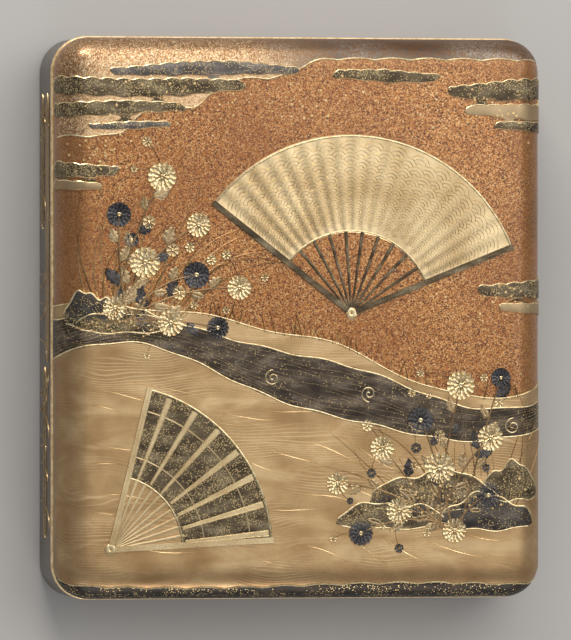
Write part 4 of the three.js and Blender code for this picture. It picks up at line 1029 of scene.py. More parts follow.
# Rocks
def rock(relief, place, half, tall, phase, shade):
    """A rock: its upper outline is a half ellipse roughened by sines, its lower one a flatter curve, and
    ridges run down its face."""
    centre = np.array(place) * flat_panel
    half, tall = half * flat_panel[0], tall * flat_panel[0]
    t = np.linspace(-1, 1, 57)
    dome = np.sqrt(np.maximum(1 - t**2, 0.0009))
    x = centre[0] + half * t
    rough = 1 + 0.14 * np.sin(5 * t + phase) + 0.08 * np.sin(11 * t + 2 * phase)
    high = centre[1] + tall * dome * rough
    low = centre[1] - 0.28 * tall * dome * (1 + 0.2 * np.sin(7 * t + 3 * phase))
    share = np.array([0, 0.04, 0.18, 0.36, 0.54, 0.72, 0.88, 0.97, 1])
    bulk = np.sin(math.pi * share) ** 0.5 * (0.65 + 0.35 * dome[:, None])
    facets = 0.12 * np.abs(np.sin(6 * t[:, None] + 5 * share + phase))
    lift = np.where((share > 0) & (share < 1), 0.2 + 0.2 * bulk + facets, -SINK)
    relief.add(places(x[:, None], between(low, high, share)), lift, shade)
    for level in (0.26, 0.42, 0.58, 0.76):
        wander = level + 0.09 * np.sin(5 * t + phase + 6 * level) + 0.04 * np.sin(13 * t + 2 * phase)
        ridge = places(x, low * (1 - wander) + high * wander)
        relief.stroke(ridge[3:-3], 0.28, 0.56, SHEET_GOLD, LINE)
    relief.stroke(places(x, high)[1:-1], 0.5, 0.58, SHEET_GOLD)
    relief.stroke(places(x, low)[3:-3], 0.4, 0.45, SHEET_GOLD)


def make_rocks():
    for name, group in ROCKS.items():
        relief = Relief(STARRED_SILVER, SHEET_GOLD, DARK_SILVER)
        for form in group:
            rock(relief, *form)
        relief.done(name + "_ridged", "raised_silver_powder", [name])


def cut_squares(relief, count, centre, spread, lift):
    """Small squares cut from sheet metal, strewn about a centre, thicker in the middle."""
    place = np.array(centre) + rng.normal(0, 1, (count, 2)) * np.array(spread)
    turn = rng.uniform(0, math.pi, count)
    half = rng.uniform(0.3, 0.55, count)
    step = half[:, None, None] * np.array([-1.0, 1.0])[:, None] * unit(turn)[:, None]
    relief.stroke(place[:, None] + step, half[:, None], lift, section=PLATE)


def make_cut_gold():
    relief = Relief(STREWN_GOLD)
    for count, centre, spread, lift in (
        (50, (-50, 96), (24, 7), 0.5),
        (40, (-92, 74), (9, 8), 0.5),
        (36, (80, 98), (17, 7), 0.5),
        (24, (90, 10), (9, 5), 0.5),
        (30, (0, 98), (16, 5), 0.5),
        (60, (62, -80), (16, 4), 0.6),
        (24, (-86, -1), (9, 3), 0.6),
    ):
        cut_squares(relief, count, centre, spread, lift)
    relief.done("cut_gold_squares", "gold_inlay")


# Chrysanthemums
def leaf(relief, base, angle, length, shade, curl):
    """A lobed leaf: its half width swells and dips three times along a midrib that bends by the curl."""
    t = np.linspace(0, 1, 17)
    heading = angle + curl * t
    path = np.array(base) + np.cumsum(unit(heading), 0) * (length / 17)
    lobes = 0.66 + 0.34 * np.abs(np.cos(3.4 * math.pi * t))
    width = length * 0.36 * np.maximum(np.sin(math.pi * t**0.85), 0.02) ** 0.7 * lobes
    section = (np.array([-1, -0.75, -0.35, 0, 0.35, 0.75, 1]), np.array([0, 0.6, 1, 0.6, 1, 0.6, 0]))
    relief.stroke(path, width, 0.56, shade, section)
    relief.stroke(path[:-1], np.linspace(0.26, 0.1, 16), 0.66, SHEET_GOLD, LINE)
    for i in (4, 7, 10):
        for side in (-1, 1):
            tip = path[i] + unit(heading[i] + side * 0.75) * width[i] * 0.85
            vein = np.linspace(path[i], tip, 4)
            relief.stroke(vein, np.linspace(0.18, 0.06, 4), 0.68, SHEET_GOLD, LINE)


def spray(relief, root, heads, bend):
    """Stems from a root to each flower head, with leaves on alternate sides."""
    for number, head in enumerate(heads):
        head = np.array(head)
        root_place = np.array(root) + np.array([1.3 * (number - len(heads) / 2), 0])
        middle_place = (root_place + head) / 2 + np.array(bend) * (1 if number % 2 else 0.5)
        path = curve(root_place, middle_place, head, 28)
        relief.stroke(path, np.linspace(0.62, 0.4, 28), 0.6, BROWN_GOLD)
        length = np.linalg.norm(head - root_place)
        spots = np.arange(9, length - 7, 8.5) / length
        for turn, spot in enumerate(spots):
            i = int(spot * 27)
            run = path[min(i + 1, 27)] - path[i - 1]
            heading = math.atan2(run[1], run[0])
            side = 1 if (turn + number) % 2 else -1
            size = rng.uniform(6.5, 9.5)
            shade = (MATTE_GOLD, BLUE_SILVER, MATTE_GOLD)[(turn + number) % 3]
            leaf(relief, path[i], heading + side * rng.uniform(0.7, 1.1), size, shade, -0.5 * side)


def petals(relief, centre, count, inner, outer, lift, shade=None, turn=0.0):
    """A ring of petals, each round at its tip, hollow along its middle and lowest at its root."""
    angle = turn + np.arange(count) * 2 * math.pi / count
    t = np.linspace(0, 1, 7)
    radius = inner + (outer - inner) * np.sin(t * QUARTER)
    width = np.maximum(outer * math.sin(math.pi / count) * 0.98 * np.sin(math.pi * t**1.5) ** 0.6, 0.05)
    width[1:-2] = np.maximum(width[1:-2], inner * math.sin(math.pi / count))
    section = (np.array([-1, -0.7, 0, 0.7, 1]), np.array([0, 1, 0.72, 1, 0]))
    paths = around(centre, radius, angle[:, None])
    relief.stroke(paths, width, np.linspace(lift * 0.72, lift, 7), shade, section)


def make_blossom(node, metal, slot):
    """A flower head of sheet metal: three rings of petals, one over another, round a studded heart."""
    low, high, middle, half = extent(node)
    centre, size, full = middle[:2], half[0], high[2] - low[2]
    relief = Relief(metal, SHEET_GOLD)
    petals(relief, centre, 15, size * 0.3, size, full * 0.72)
    petals(relief, centre, 12, size * 0.22, size * 0.76, full * 0.84, turn=0.2)
    petals(relief, centre, 9, size * 0.12, size * 0.52, full * 0.93, turn=0.1)
    heart = around(centre, size * 0.1, np.linspace(0, 2 * math.pi, 13))
    relief.stroke(heart, size * 0.1, full, SHEET_GOLD)
    relief.done(node + "_petals", slot, [node])


def small_blossom(relief, centre, size, shade):
    petals(relief, centre, 7, size * 0.2, size, 0.66, shade, rng.uniform(0, 1))
    heart = around(centre, size * 0.12, np.linspace(0, 2 * math.pi, 9))
    relief.stroke(heart, size * 0.12, 0.78, SHEET_GOLD)


def make_sprays():
    heads = {name: extent(name)[2][:2] for name in sorted(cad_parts) if "_blossom_" in name}
    left = [p for p in heads.values() if p[0] < 0]
    right = [p for p in heads.values() if p[0] > 0]
    relief = Relief(MATTE_GOLD, BLUE_SILVER, BROWN_GOLD, SHEET_GOLD, PALE_GOLD)
    spray(relief, (-82, -2), left, (-6, 8))
    spray(relief, (66, -94), right, (0, 10))
    # each small flower has its own stalk from the nearest head
    for number, (across, along, size) in enumerate(BUDS):
        spot = np.array([across, along]) * flat_panel
        anchor = min(left + right, key=lambda head: np.linalg.norm(head - spot))
        towards = anchor - spot
        bend = spot + towards * 0.5 + np.array([-towards[1], towards[0]]) * 0.2
        relief.stroke(curve(spot, bend, anchor, 10), 0.24, 0.5, BROWN_GOLD, LINE)
        shade = (PALE_GOLD, BLUE_SILVER, PALE_GOLD, SHEET_GOLD)[number % 4]
        small_blossom(relief, spot, size / 2, shade)
    relief.done("chrysanthemum_sprays", "raised_gold_powder")
    for name in heads:
        gold = name.startswith("gold")
        metal = SHEET_GOLD if gold else BLUE_SILVER
        make_blossom(name, metal, "gold_inlay" if gold else "silver_inlay")


def grass(relief, root, heading, length, bend, shade, thick=0.5):
    """A blade that springs from its root and falls over: its heading turns at a growing rate."""
    steps = 26
    t = np.linspace(0, 1, steps)
    path = np.array(root) + np.cumsum(unit(heading - bend * t**1.6), 0) * (length / steps)
    relief.stroke(path, thick * (1 - t) ** 0.7 + 0.07, 0.5, shade, LINE)


# Clumps of grass: the first root, the step along and the scatter of the others, the first blade's lean and
# how it turns from blade to blade, and the least and most of the lengths and bends
GRASS_CLUMPS = (
    (-92, -3, 1.5, 2, 0.5, 0.055, (34, 82), (0.3, 1.5)),
    (46, -88, 2.2, 3, 0.9, 0.06, (26, 60), (-1.2, 0.5)),
)


def make_grasses():
    """Two clumps that lean over, and short blades along the bank, by turns of two finishes."""
    shades = (PALE_GOLD, BROWN_GOLD)
    relief = Relief(*shades)
    for x, y, step, spread, lean, turn, lengths, bends in GRASS_CLUMPS:
        for number in range(24):
            root = (x + step * number, y + rng.uniform(-spread, spread))
            heading = QUARTER + lean - turn * number
            length, bend = rng.uniform(*lengths), rng.uniform(*bends)
            grass(relief, root, heading, length, bend, shades[number % 2])
    for number in range(60):
        x = rng.uniform(-60, 100)
        root = (x, bank_line(x) - 1)
        heading = QUARTER + rng.uniform(-0.5, 0.5)
        length, bend = rng.uniform(4, 11), rng.uniform(-0.9, 0.9)
        grass(relief, root, heading, length, bend, shades[number % 2], 0.4)
    relief.done("autumn_grasses", "raised_gold_powder")


# The base's sides
def side_sheet(side, along, down):
    """A place on the sheet over one side: 0 left, 1 front, 2 right, 3 back; down is past the flat panel."""
    out = (flat_panel[side % 2] + down) * (-1 if side < 2 else 1)
    return places(along, out) if side % 2 else places(out, along)


# Each bar of mist: the side it is on, its middle along the side, half its length, its depth, half its height
SIDE_MISTS = (
    (0, 40, 60, 0.3, 2.6, MATTE_GOLD),
    (0, -60, 38, 0.55, 2.2, STARRED_SILVER),
    (0, 70, 30, 0.75, 1.8, STARRED_SILVER),
    (1, -30, 50, 0.35, 2.4, STARRED_SILVER),
    (1, 40, 42, 0.65, 2.2, MATTE_GOLD),
    (2, 20, 64, 0.3, 2.6, MATTE_GOLD),
    (2, -40, 44, 0.6, 2.0, STARRED_SILVER),
    (3, 10, 56, 0.4, 2.4, MATTE_GOLD),
    (3, -36, 34, 0.7, 2.0, STARRED_SILVER),
)


def make_side_mist():
    """Mist and grasses on the base, in the same sheet as the lid's, where it hangs down the walls."""
    relief = Relief(MATTE_GOLD, STARRED_SILVER, PALE_GOLD, BROWN_GOLD)
    top = base_top_reach + 1.5
    foot = base_foot_reach - 1.0
    share = np.array([-1, -0.9, -0.4, 0.4, 0.9, 1])
    lift = np.array([-SINK, 0.25, 0.4, 0.4, 0.25, -SINK])
    for side, along, half, depth, tall, shade in SIDE_MISTS:
        t = np.linspace(-1, 1, 41)
        run = along + half * t
        swell = tall * np.sqrt(np.maximum(1 - np.abs(t) ** 14, 0.0004))
        level = top + (foot - top) * depth
        relief.add(side_sheet(side, run[:, None], level + swell[:, None] * share), lift, shade)
        for edge in (-1, 1):
            relief.stroke(side_sheet(side, run, level + edge * swell), 0.3, 0.5, PALE_GOLD)
    for number in range(96):
        side = number % 4
        limit = flat_panel[1 - side % 2] - 12
        start = rng.uniform(-limit, limit)
        t = np.linspace(0, 1, 14)
        down = foot - (foot - top) * rng.uniform(0.5, 0.95) * np.sin(t * QUARTER)
        run = start + rng.uniform(-1, 1) * 16 * t**1.8
        shade = (PALE_GOLD, BROWN_GOLD)[number % 2]
        relief.stroke(side_sheet(side, run, down), 0.45 * (1 - t) + 0.08, 0.45, shade, LINE)
    relief.done("base_mist_and_grass", "raised_gold_powder", body="base")


# The writing set
POCKET_FIT = 0.4
STONE_CORNER = 6.0
STONE_RIM = 4.2
STONE_SLOPE = 2.4
FLAT_DEPTH = 2.2
WELL_DEPTH = 10.0
WELL_END = 5.0
WELL_LENGTH = 48.0
NOTCHES = (("brush_1_handle", 4.85), ("brush_2_handle", 4.85), ("knife_handle", 4.8), ("awl_handle", 4.3))
LOBES = 12
BRUSH_RADIUS = 4.2
CAP_BORE = 3.6
CAP_RADIUS = 4.5
# The bamboo's joints: where they are, and how the radius swells and dips at places before and after
BAMBOO_JOINTS = (62, 104)
JOINT_SHAPE = ((0, -1.5), (0.12, -0.9), (0.3, -0.4), (0.12, -0.1), (-0.1, 0), (0.18, 0.3), (0.05, 1.4))
AWL_RADIUS = 4.0
INK_BORDER = 2.7
WAVE = 4.0
ARM = 128


def make_tray(node):
    """An open tray: outer wall, rounded rim of gold powder, and down inside to its floor."""
    low, high, centre, half = extent(node)
    lip = TRAY_WALL / 2
    brim = high[2] - lip * 1.5
    path = rounding("foot", 0.5, 0, low[2]) + [(0, brim)]
    path += rounding("brim", lip, 0, high[2], 8) + rounding("inner brim", lip, TRAY_WALL, high[2], 8)[1:]
    path += [(TRAY_WALL, brim)] + rounding("floor", 0.4, TRAY_WALL, low[2] + TRAY_WALL)
    plan = np.append(centre[:2], 0)
    rings = [plan + ring(half[:2] - inset, TRAY_CORNER - inset, z, 10) for inset, z in path]
    rim = np.array([z > brim + 0.01 for _, z in path])
    shades = np.append(np.repeat(rim[1:] | rim[:-1], len(rings[0])), [False, False])
    finishes = [FITTING_LACQUER, MATTE_GOLD]
    piece(node + "_wood", loft(rings), finishes, node, [node], shades)


def make_board():
    """The board between the trays. Its top is two patches, each from half of its outline to the edge of a
    pocket, which is found along lines from the pocket's middle. Each pocket has a wall and a floor."""
    low, high, _, half = extent("inkstone_board")
    stone_low, stone_high, stone, stone_half = extent("inkstone")
    vessel_low, _, vessel, vessel_half = extent("water_dropper")
    path = rounding("foot", 0.6, 0, low[2]) + rounding("brim", 0.6, 0, high[2])
    plates = [plate(half - inset, TRAY_CORNER - inset, z, columns=25, straight=56) for inset, z in path]
    skin = Skin(FITTING_LACQUER, BLACK)
    top = skin.block(plates)
    split = int(np.argmin(np.abs(top[:, 0, 1] - (stone_high[1] + vessel_low[1]) / 2)))
    path = rounding("inner brim", 0.5, 0, high[2]) + [(0, stone_low[2] - 0.3)]
    round_hole = vessel_half[1] + POCKET_FIT
    for rows, centre, hole, corner in (
        (top[: split + 1], stone[:2], stone_half[:2] + POCKET_FIT, STONE_CORNER + POCKET_FIT),
        (top[split:], vessel[:2], np.full(2, round_hole), round_hole),
    ):
        loops = [edge_of(rows)]
        for inset, z in path:
            loops.append(at_height(edge_towards(loops[0], centre, hole - inset, corner - inset), z))
        skin.band(loops)
        skin.cap(loops[-1], BLACK)
    skin.done("board_wood", "sprinkled_gold_lacquer", ["inkstone_board"], "board")


def smooth(t):
    t = np.clip(t, 0, 1)
    return t * t * (3 - 2 * t)


def make_inkstone():
    """A block with a rounded rim. Inside the rim the grinding flat falls away, by a smooth step along Y, to
    the ink well, and rises again at its end."""
    low, high, centre, half = extent("inkstone")
    flat, well = high[2] - FLAT_DEPTH, high[2] - WELL_DEPTH
    shape = {"centre": centre[:2], "columns": 41, "straight": 90, "arc": 8}
    path = rounding("foot", 0.8, 0, low[2]) + rounding("brim", 1.4, 0, high[2], 6)
    skin = Skin(SLATE)
    top = skin.block([plate(half - inset, STONE_CORNER - inset, z, **shape) for inset, z in path])
    inner = plate(half - STONE_RIM, STONE_SLOPE, high[2], **shape)
    skin.band([edge_of(top), edge_of(inner)])
    past = np.abs(inner[..., :2] - centre[:2]) - (half[:2] - STONE_RIM - STONE_SLOPE)
    inside = STONE_SLOPE - np.linalg.norm(np.maximum(past, 0), axis=-1) - np.minimum(past.max(-1), 0)
    y = inner[..., 1] - centre[1]
    end = half[1] - WELL_END
    fall, rise = smooth((y - end + WELL_LENGTH) / 20), smooth((end + 1 - y) / 7)
    floor = flat - (flat - well) * fall * rise
    inner[..., 2] = high[2] + (floor - high[2]) * smooth(inside / STONE_SLOPE)
    skin.grid(inner)
    skin.done("inkstone_slate", "slate", ["inkstone"], "inkstone", 30)


def make_dropper():
    """A vessel like an open flower, worked out round its middle: each lobe's edge is a half wave of a
    cosine. The top has a small air hole in its middle and a pouring hole with a collar near its edge."""
    low, _, centre, half = extent("water_dropper")
    angle = np.linspace(0, 2 * math.pi, 144, endpoint=False)
    dip = 1 - np.abs(np.cos(LOBES / 2 * angle))
    # the outline from the foot up to the air hole: shares of the radius, and heights
    profile = [(0.05, 0.8), (0.6, 0.8), (0.66, 0.0), (0.76, 0.0), (0.84, 1.2)]
    profile += [(0.99 - 0.15 * math.cos(t), 5.6 - 4.4 * math.cos(t)) for t in np.linspace(0.3, 1.5, 6)]
    profile += [(1.0, 7.4), (0.99, 9.0)]
    profile += [(0.72 + 0.27 * math.cos(t), 9.8 + 5.3 * math.sin(t)) for t in np.linspace(0.1, 1.5, 9)]
    profile += [(share, 15.2) for share in (0.66, 0.54, 0.42, 0.34)] + [(0.2, 14.9), (0.12, 15.3)]
    profile += [(0.075, 15.3), (0.06, 15.0), (0.06, 9.0), (0.01, 9.0)]
    share, rise = np.array(profile).T
    notch = 0.07 * np.clip((share - 0.1) / 0.5, 0, 1)
    radius = half[1] * share[:, None] * (1 - notch[:, None] * dip)
    crease = 0.5 * np.clip((share - 0.3) / 0.4, 0, 1) * (rise > 12)
    z = low[2] + rise[:, None] - crease[:, None] * dip
    grid = np.stack([radius * np.cos(angle), radius * np.sin(angle), z], -1)
    grid[..., :2] += centre[:2]
    first = int(np.argmax(rise == 15.2))
    keep = np.ones((len(share) - 1, len(angle)), bool)
    turn = np.roll(np.arange(len(angle)), 8)[:17]
    keep[first : first + 3, turn[:-1]] = False
    skin = Skin(BRONZE)
    skin.grid(grid, keep=keep, closed=True)
    # the pouring hole's collar, from the patch that is left out: radii and heights
    loops = [edge_of(grid[first : first + 4][:, turn])]
    mouth = np.array([centre[0] + half[1] * 0.56, centre[1]])
    for size, height in ((2.3, 15.3), (2.2, 15.8), (1.9, 16.0), (1.5, 15.7), (1.5, 10.0)):
        loops.append(at_height(edge_towards(loops[0], mouth, (size, size), size), low[2] + height))
    skin.band(loops)
    for loop in (loops[-1], grid[0], grid[-1]):
        skin.cap(loop)
    skin.done("water_dropper_bronze", "aged_bronze", ["water_dropper"], "water_dropper")


def make_rest(node):
    """A bar across the tray, as sections along X whose height is the bar's less a circle's at each notch."""
    low, high, centre, half = extent(node)
    edge = 0.4
    notches = [(extent(tool)[2][0], r) for tool, r in NOTCHES]
    borders = [spot + side * r * 0.9999 for spot, r in notches for side in (-1, 1)]
    x = np.unique([*np.linspace(low[0], high[0], 160), *borders, low[0] + edge, high[0] - edge])
    top = np.full_like(x, high[2])
    for spot, r in notches:
        top = np.minimum(top, high[2] - np.sqrt(np.maximum(r**2 - (x - spot) ** 2, 0)))
    ease = np.clip(np.minimum(x - low[0], high[0] - x) / edge, 0, 1)
    shrink = edge * (1 - np.sqrt(np.maximum(1 - (1 - ease) ** 2, 0)))
    section = [(-1, 0, 0, 1), (1, 0, 0, 1), (1, 0, 1, -1), (1, -1, 1, 0), (-1, 1, 1, 0), (-1, 0, 1, -1)]
    rings = []
    for side, inward, upper, drop in section:
        y = centre[1] + side * (half[1] - shrink) + inward * edge
        z = np.where(upper, top - shrink, low[2] + shrink) + (edge * drop if upper else 0)
        rings.append(np.stack([x, np.broadcast_to(y, x.shape), z], -1))
    grid = np.array(rings).transpose(1, 0, 2)
    skin = Skin(BLACK)
    skin.grid(grid, closed=True)
    skin.cap(grid[0])
    skin.cap(grid[-1])
    skin.done(node + "_bar", "black_lacquer", [node], "right_tray", 50)


def make_brush(number):
    """Handle, hair and cap of one brush, each turned about the brush's line."""
    brush = f"brush_{number}"
    low, high = extent(brush + "_handle")[:2]
    cap_low, cap_high, cap, _ = extent(brush + "_cap")
    tip = extent(brush + "_hair")[1][1]
    line = cap[[0, 2]]
    r, seat = BRUSH_RADIUS, cap_low[1] - 0.3
    profile = [(0, low[1] + 0.4), (1.2, low[1] + 0.4), (1.4, low[1])]
    profile += [(r - inset, y) for inset, y in rounding("foot", 0.9, 0, low[1], 5)]
    for joint in BAMBOO_JOINTS:
        profile += [(r + swell, low[1] + joint + along) for swell, along in JOINT_SHAPE]
    profile += [(r, seat - 0.3), (r - 0.2, seat), (3.3, seat), (3.3, high[1] - 0.3), (3.0, high[1])]
    profile += [(2.55, high[1]), (2.5, high[1] - 6), (0, high[1] - 6)]
    piece(brush + "_bamboo", turned(profile, line), [BAMBOO], brush, [brush + "_handle"])
    t = np.linspace(0, 1, 24)
    start = high[1] - 5.5
    belly = 2.3 + 0.6 * smooth(t / 0.35)
    point = np.sqrt(np.maximum(1 - smooth((t - 0.3) / 0.7) ** 1.2, 0))
    tuft = places(np.where(t < 0.3, belly, belly * point), start + (tip - start) * t)
    hair = turned([(0, start), *tuft[:-1], (0.05, tip)], line, 72, 0.07, 24)
    piece(brush + "_tuft", hair, [HAIR], brush, [brush + "_hair"])
    mouth, end = cap_low[1], cap_high[1]
    bore, out = CAP_BORE, CAP_RADIUS
    profile = [(0, end - 4), (bore, end - 4), (bore, mouth + 0.2), (bore + 0.2, mouth), (out - 0.25, mouth)]
    profile += [(out, mouth + 0.3), (out, end - 9), (out - 0.15, end - 8.7), (out, end - 8.4)]
    profile += [(out - inset, y) for inset, y in rounding("brim", 1.4, 0, end, 6)] + [(0, end)]
    sleeve = turned(profile, line)
    piece(brush + "_sleeve", sleeve, [BAMBOO], brush + "_cap", [brush + "_cap"])


def make_lying_bar(name, node, finish_used, ease):
    """A bar of the knife with a rounded section and rounded ends, as big as its node."""
    low, high, centre, half = extent(node)
    path = rounding("foot", ease, 0, low[1], 5) + rounding("brim", ease, 0, high[1], 5)
    rings = [standing_ring(half[[0, 2]] - e, 2.8 - e, y, centre[[0, 2]]) for e, y in path]
    piece(name, loft(rings), [finish_used], "knife", [node])


def make_knife():
    """Handle, collar and blade. The blade's section has a flat back, a ridge and a bevel down to its edge,
    which comes up to the back over the last 16 mm."""
    make_lying_bar("knife_grip", "knife_handle", BLACK, 0.9)
    make_lying_bar("knife_ferrule", "knife_collar", PALE_SILVER, 0.4)
    _, high, centre, half = extent("knife_blade")
    heel = extent("knife_collar")[1][1] + 0.3
    wide, _, thick = half
    turn = high[1] - 16
    y = np.array([heel - 3, heel - 0.01, *np.linspace(heel, turn, 12), *np.linspace(turn, high[1], 14)[1:]])
    back = np.where(y < heel, -2.0, -wide)
    edge = np.where(y < heel, 2.0, wide - (2 * wide - 1) * np.clip((y - turn) / 16, 0, 1))
    bevel = np.where(y < heel, thick, 0.12)
    ridge = back + (edge - back) * 0.42
    upper = [(back + 0.15, thick), (ridge, thick), (edge, bevel)]
    lower = [(x, -z) for x, z in upper[::-1]] + [(back, -thick * 0.8), (back, thick * 0.8)]
    rings = np.stack([np.stack([centre[0] + x, y, centre[2] + z + 0 * y], -1) for x, z in upper + lower], 1)
    piece("knife_steel", loft(rings), [STEEL], "knife", ["knife_blade"], sharp=20)


def make_awl():
    """Handle, collar and spike, turned about one line. The handle swells by the square of a sine."""
    low, high, centre, _ = extent("awl_handle")
    line = centre[[0, 2]]
    r = AWL_RADIUS
    profile = [(0, low[1])] + [(r - inset, y) for inset, y in rounding("foot", 1.6, 0, low[1], 6)]
    t = np.linspace(0, 1, 30)
    body = r - 0.5 * np.sin(math.pi * t) ** 2 * (t > 0.3)
    profile += [*places(body, low[1] + 2 + (high[1] - low[1] - 3) * t), (r - 0.3, high[1]), (0, high[1])]
    piece("awl_grip", turned(profile, line), [BLACK], "awl", ["awl_handle"])
    start, end = (corner[1] for corner in extent("awl_collar")[:2])
    profile = [(0, start), (r - 0.2, start), (r, start + 0.2), (r, start + 1), (r - 0.2, start + 1.2)]
    t = np.linspace(0, 1, 7)
    profile += [*places(r * 0.7 + (r * 0.3 - 0.25) * (1 - t) ** 2, start + 1.3 + (end - start - 1.5) * t)]
    ferrule = turned([*profile, (2.6, end), (0, end)], line)
    piece("awl_ferrule", ferrule, [PALE_SILVER], "awl", ["awl_collar"])
    tip = extent("awl_spike")[1][1]
    profile = [(0, end - 2), (1.4, end - 2), (1.38, end + 12), (1.2, end + 30), (0.95, tip - 20)]
    spike = turned([*profile, (0.6, tip - 8), (0.3, tip - 2.5), (0.05, tip)], line, 24)
    piece("awl_steel", spike, [STEEL], "awl", ["awl_spike"])


def make_ink_stick():
    """A moulded bar. Its sunk panel has a low relief of the traditional overlapping waves: at each place
    the height follows a cosine of the distance from the nearest wave's centre in front of it."""
    low, high, middle, half = extent("ink_stick")
    centre = middle[:2]
    shape = {"centre": centre, "columns": 61, "straight": 200, "arc": 5}
    path = rounding("foot", 0.6, 0, low[2]) + rounding("brim", 0.7, 0, high[2])
    skin = Skin(INK)
    top = skin.block([plate(half - inset, 2 - inset, z, **shape) for inset, z in path])
    border = plate(half - INK_BORDER + 0.4, 1.7, high[2], **shape)
    panel = plate(half - INK_BORDER, 1.3, high[2] - 0.5, **shape)
    skin.band([edge_of(p) for p in (top, border, panel)])
    x, y = np.moveaxis(panel[..., :2] - centre, -1, 0) / WAVE
    height = np.zeros_like(x)
    settled = np.zeros(x.shape, bool)
    for step in range(5):
        row = np.floor(y * 2) - 2 + step
        offset = row % 2
        near = np.round((x - offset) / 2) * 2 + offset
        away = np.hypot(x - near, y - row / 2)
        hit = (away < 1) & ~settled
        height = np.where(hit, 0.5 + 0.5 * np.cos(away * 3 * 2 * math.pi), height)
        settled |= hit
    inset = np.abs(panel[..., :2] - centre) - (half[:2] - INK_BORDER)
    panel[..., 2] += 0.38 * height * smooth(-inset.max(-1) / 0.8)
    skin.grid(panel)
    skin.done("ink_stick_pressed", "ink", ["ink_stick"], "ink_stick", 60)


def make_holder():
    """Two arms with jaws, as sections along Y, and two flat hoops round them."""
    along = np.array([0, 0.5, 1.0, 20, 60, 90, 114, 116, 118, 120, 124, 127, 127.6, ARM])
    gap = np.interp(along, [114, 118], [0, 1.6])
    slim = np.interp(along, [114, ARM], [0, 1.2])
    end = np.where(along < 1, 0.5 * (1 - along), np.maximum(0.5 * (along - 127), 0))
    for side, node in ((-1, "holder_left_arm"), (1, "holder_right_arm")):
        low, high, centre, half = extent(node)
        inner, outer = (low[0], high[0]) if side > 0 else (high[0], low[0])
        rings = []
        for y, g, s, e in zip(low[1] + along * (high[1] - low[1]) / ARM, gap, slim, end):
            a, b = inner + side * (g + e), outer - side * (s + e)
            section = (abs(b - a) / 2, half[2] - e)
            rings.append(standing_ring(section, 0.9 - e * 0.6, y, ((a + b) / 2, centre[2])))
        piece(node + "_slip", loft(rings), [BAMBOO], "ink_holder", [node])
    t = np.linspace(0, 1, 9)
    easing = 0.3 * (np.abs(t - 0.5) > 0.49) + 0.22 * (np.abs(t - 0.5) < 0.2)
    for node, body in (("holder_tail_band", "ink_holder"), ("holder_ring", "holder_ring")):
        low, high, centre, half = extent(node)
        line, half = centre[[0, 2]], half[[0, 2]]
        y = low[1] + (high[1] - low[1]) * t
        rings = [standing_ring(half - e, 1.6 - e, place, line) for e, place in zip(easing, y)]
        rings += [standing_ring(half - 1.4, 0.4, place, line) for place in y[::-1]]
        piece(node + "_hoop", loft(rings, hoop=True), [BRONZE], body, [node])


# Stage, light and camera
# The photograph's height and pixels to a millimetre, how far it looks from the left, and where it is aimed
PHOTO_HEIGHT = 640
PHOTO_SCALE = 2.243
PHOTO_TILT = math.radians(12.3)
CAMERA_DISTANCE = 4.4
AIM_LEFT = 7.9
AIM_DOWN = 1.0
SENSOR = 36.0


def make_stage():
    half = 3.0
    mesh = bpy.data.meshes.new("floor")
    corners = [(-half, -half, 0), (half, -half, 0), (half, half, 0), (-half, half, 0)]
    mesh.from_pydata(corners, [], [(0, 1, 2, 3)])
    mesh.materials.append(finish("seamless paper, pale grey", paper))
    floor = bpy.data.objects.new("floor", mesh)
    bpy.context.scene.collection.objects.link(floor)
    world = bpy.data.worlds.new("studio")
    bpy.context.scene.world = world
    world.use_nodes = True
    tree = world.node_tree
    tree.nodes.clear()
    sky = add(tree, "Background", Color=colour("e9ebee"), Strength=0.34)
    add(tree, "OutputWorld", Surface=sky)


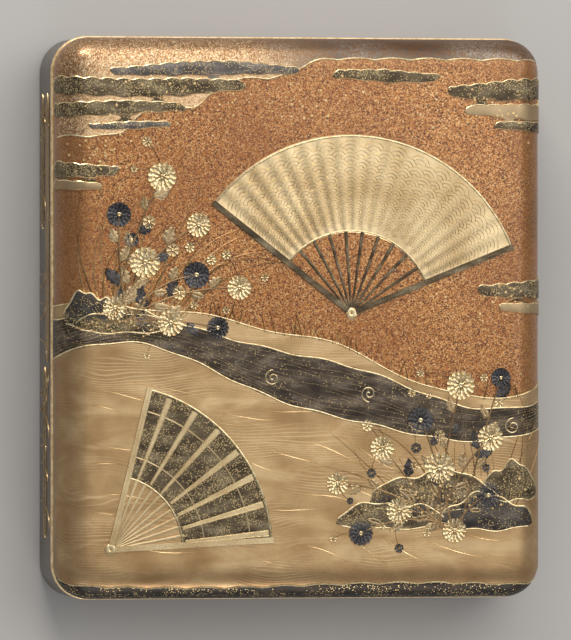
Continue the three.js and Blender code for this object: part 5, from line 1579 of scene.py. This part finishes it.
def lamp(name, place, aim, size, power, tint="ffffff"):
    data = bpy.data.lights.new(name, "AREA")
    data.shape = "RECTANGLE"
    data.size, data.size_y = size
    data.energy = power
    data.color = colour(tint)[:3]
    made = bpy.data.objects.new(name, data)
    made.location = place
    made.rotation_euler = (Vector(aim) - Vector(place)).to_track_quat("-Z", "Y").to_euler()
    bpy.context.scene.collection.objects.link(made)


def make_lights():
    lamp("key", (0.7, 1.0, 1.5), (0, 0, 0.03), (2.2, 2.2), 27, "fff8f0")
    lamp("back_strip", (-0.3, 1.2, 0.6), (0, 0, 0.04), (0.5, 0.25), 9, "fff6ec")
    lamp("front_fill", (0.1, -1.4, 0.25), (0, 0, 0.03), (1.2, 0.2), 11, "fff6ec")


def make_camera():
    """A long lens that looks down at the box from above its left side, with the box's back at the top."""
    data = bpy.data.cameras.new("camera")
    made = bpy.data.objects.new("camera", data)
    bpy.context.scene.collection.objects.link(made)
    bpy.context.scene.camera = made
    data.sensor_fit = "VERTICAL"
    data.sensor_height = SENSOR
    data.lens = SENSOR * CAMERA_DISTANCE / (PHOTO_HEIGHT / PHOTO_SCALE * MM)
    back = Vector((-math.sin(PHOTO_TILT), 0, math.cos(PHOTO_TILT)))
    right = Vector((math.cos(PHOTO_TILT), 0, math.sin(PHOTO_TILT)))
    up = Vector((0, 1, 0))
    target = Vector((0, 0, lid_top * MM)) - right * AIM_LEFT * MM - up * AIM_DOWN * MM
    made.location = target + back * CAMERA_DISTANCE
    made.rotation_euler = Matrix((right, up, back)).transposed().to_euler()
    data.clip_end = 20


make_lid()
make_base()
make_rim("lid_bead", "lid", "lid_rim")
make_rim("base_bead", "base", "base_rim")
make_masses()
make_mist()
make_stream()
make_fans()
make_rocks()
make_cut_gold()
make_grasses()
make_sprays()
make_side_mist()
make_tray("right_tray")
make_tray("left_tray")
make_board()
make_inkstone()
make_dropper()
make_rest("front_rest")
make_rest("back_rest")
make_brush(1)
make_brush(2)
make_knife()
make_awl()
make_ink_stick()
make_holder()
make_stage()
make_lights()
make_camera()

bpy.context.scene.view_settings.view_transform = "Standard"
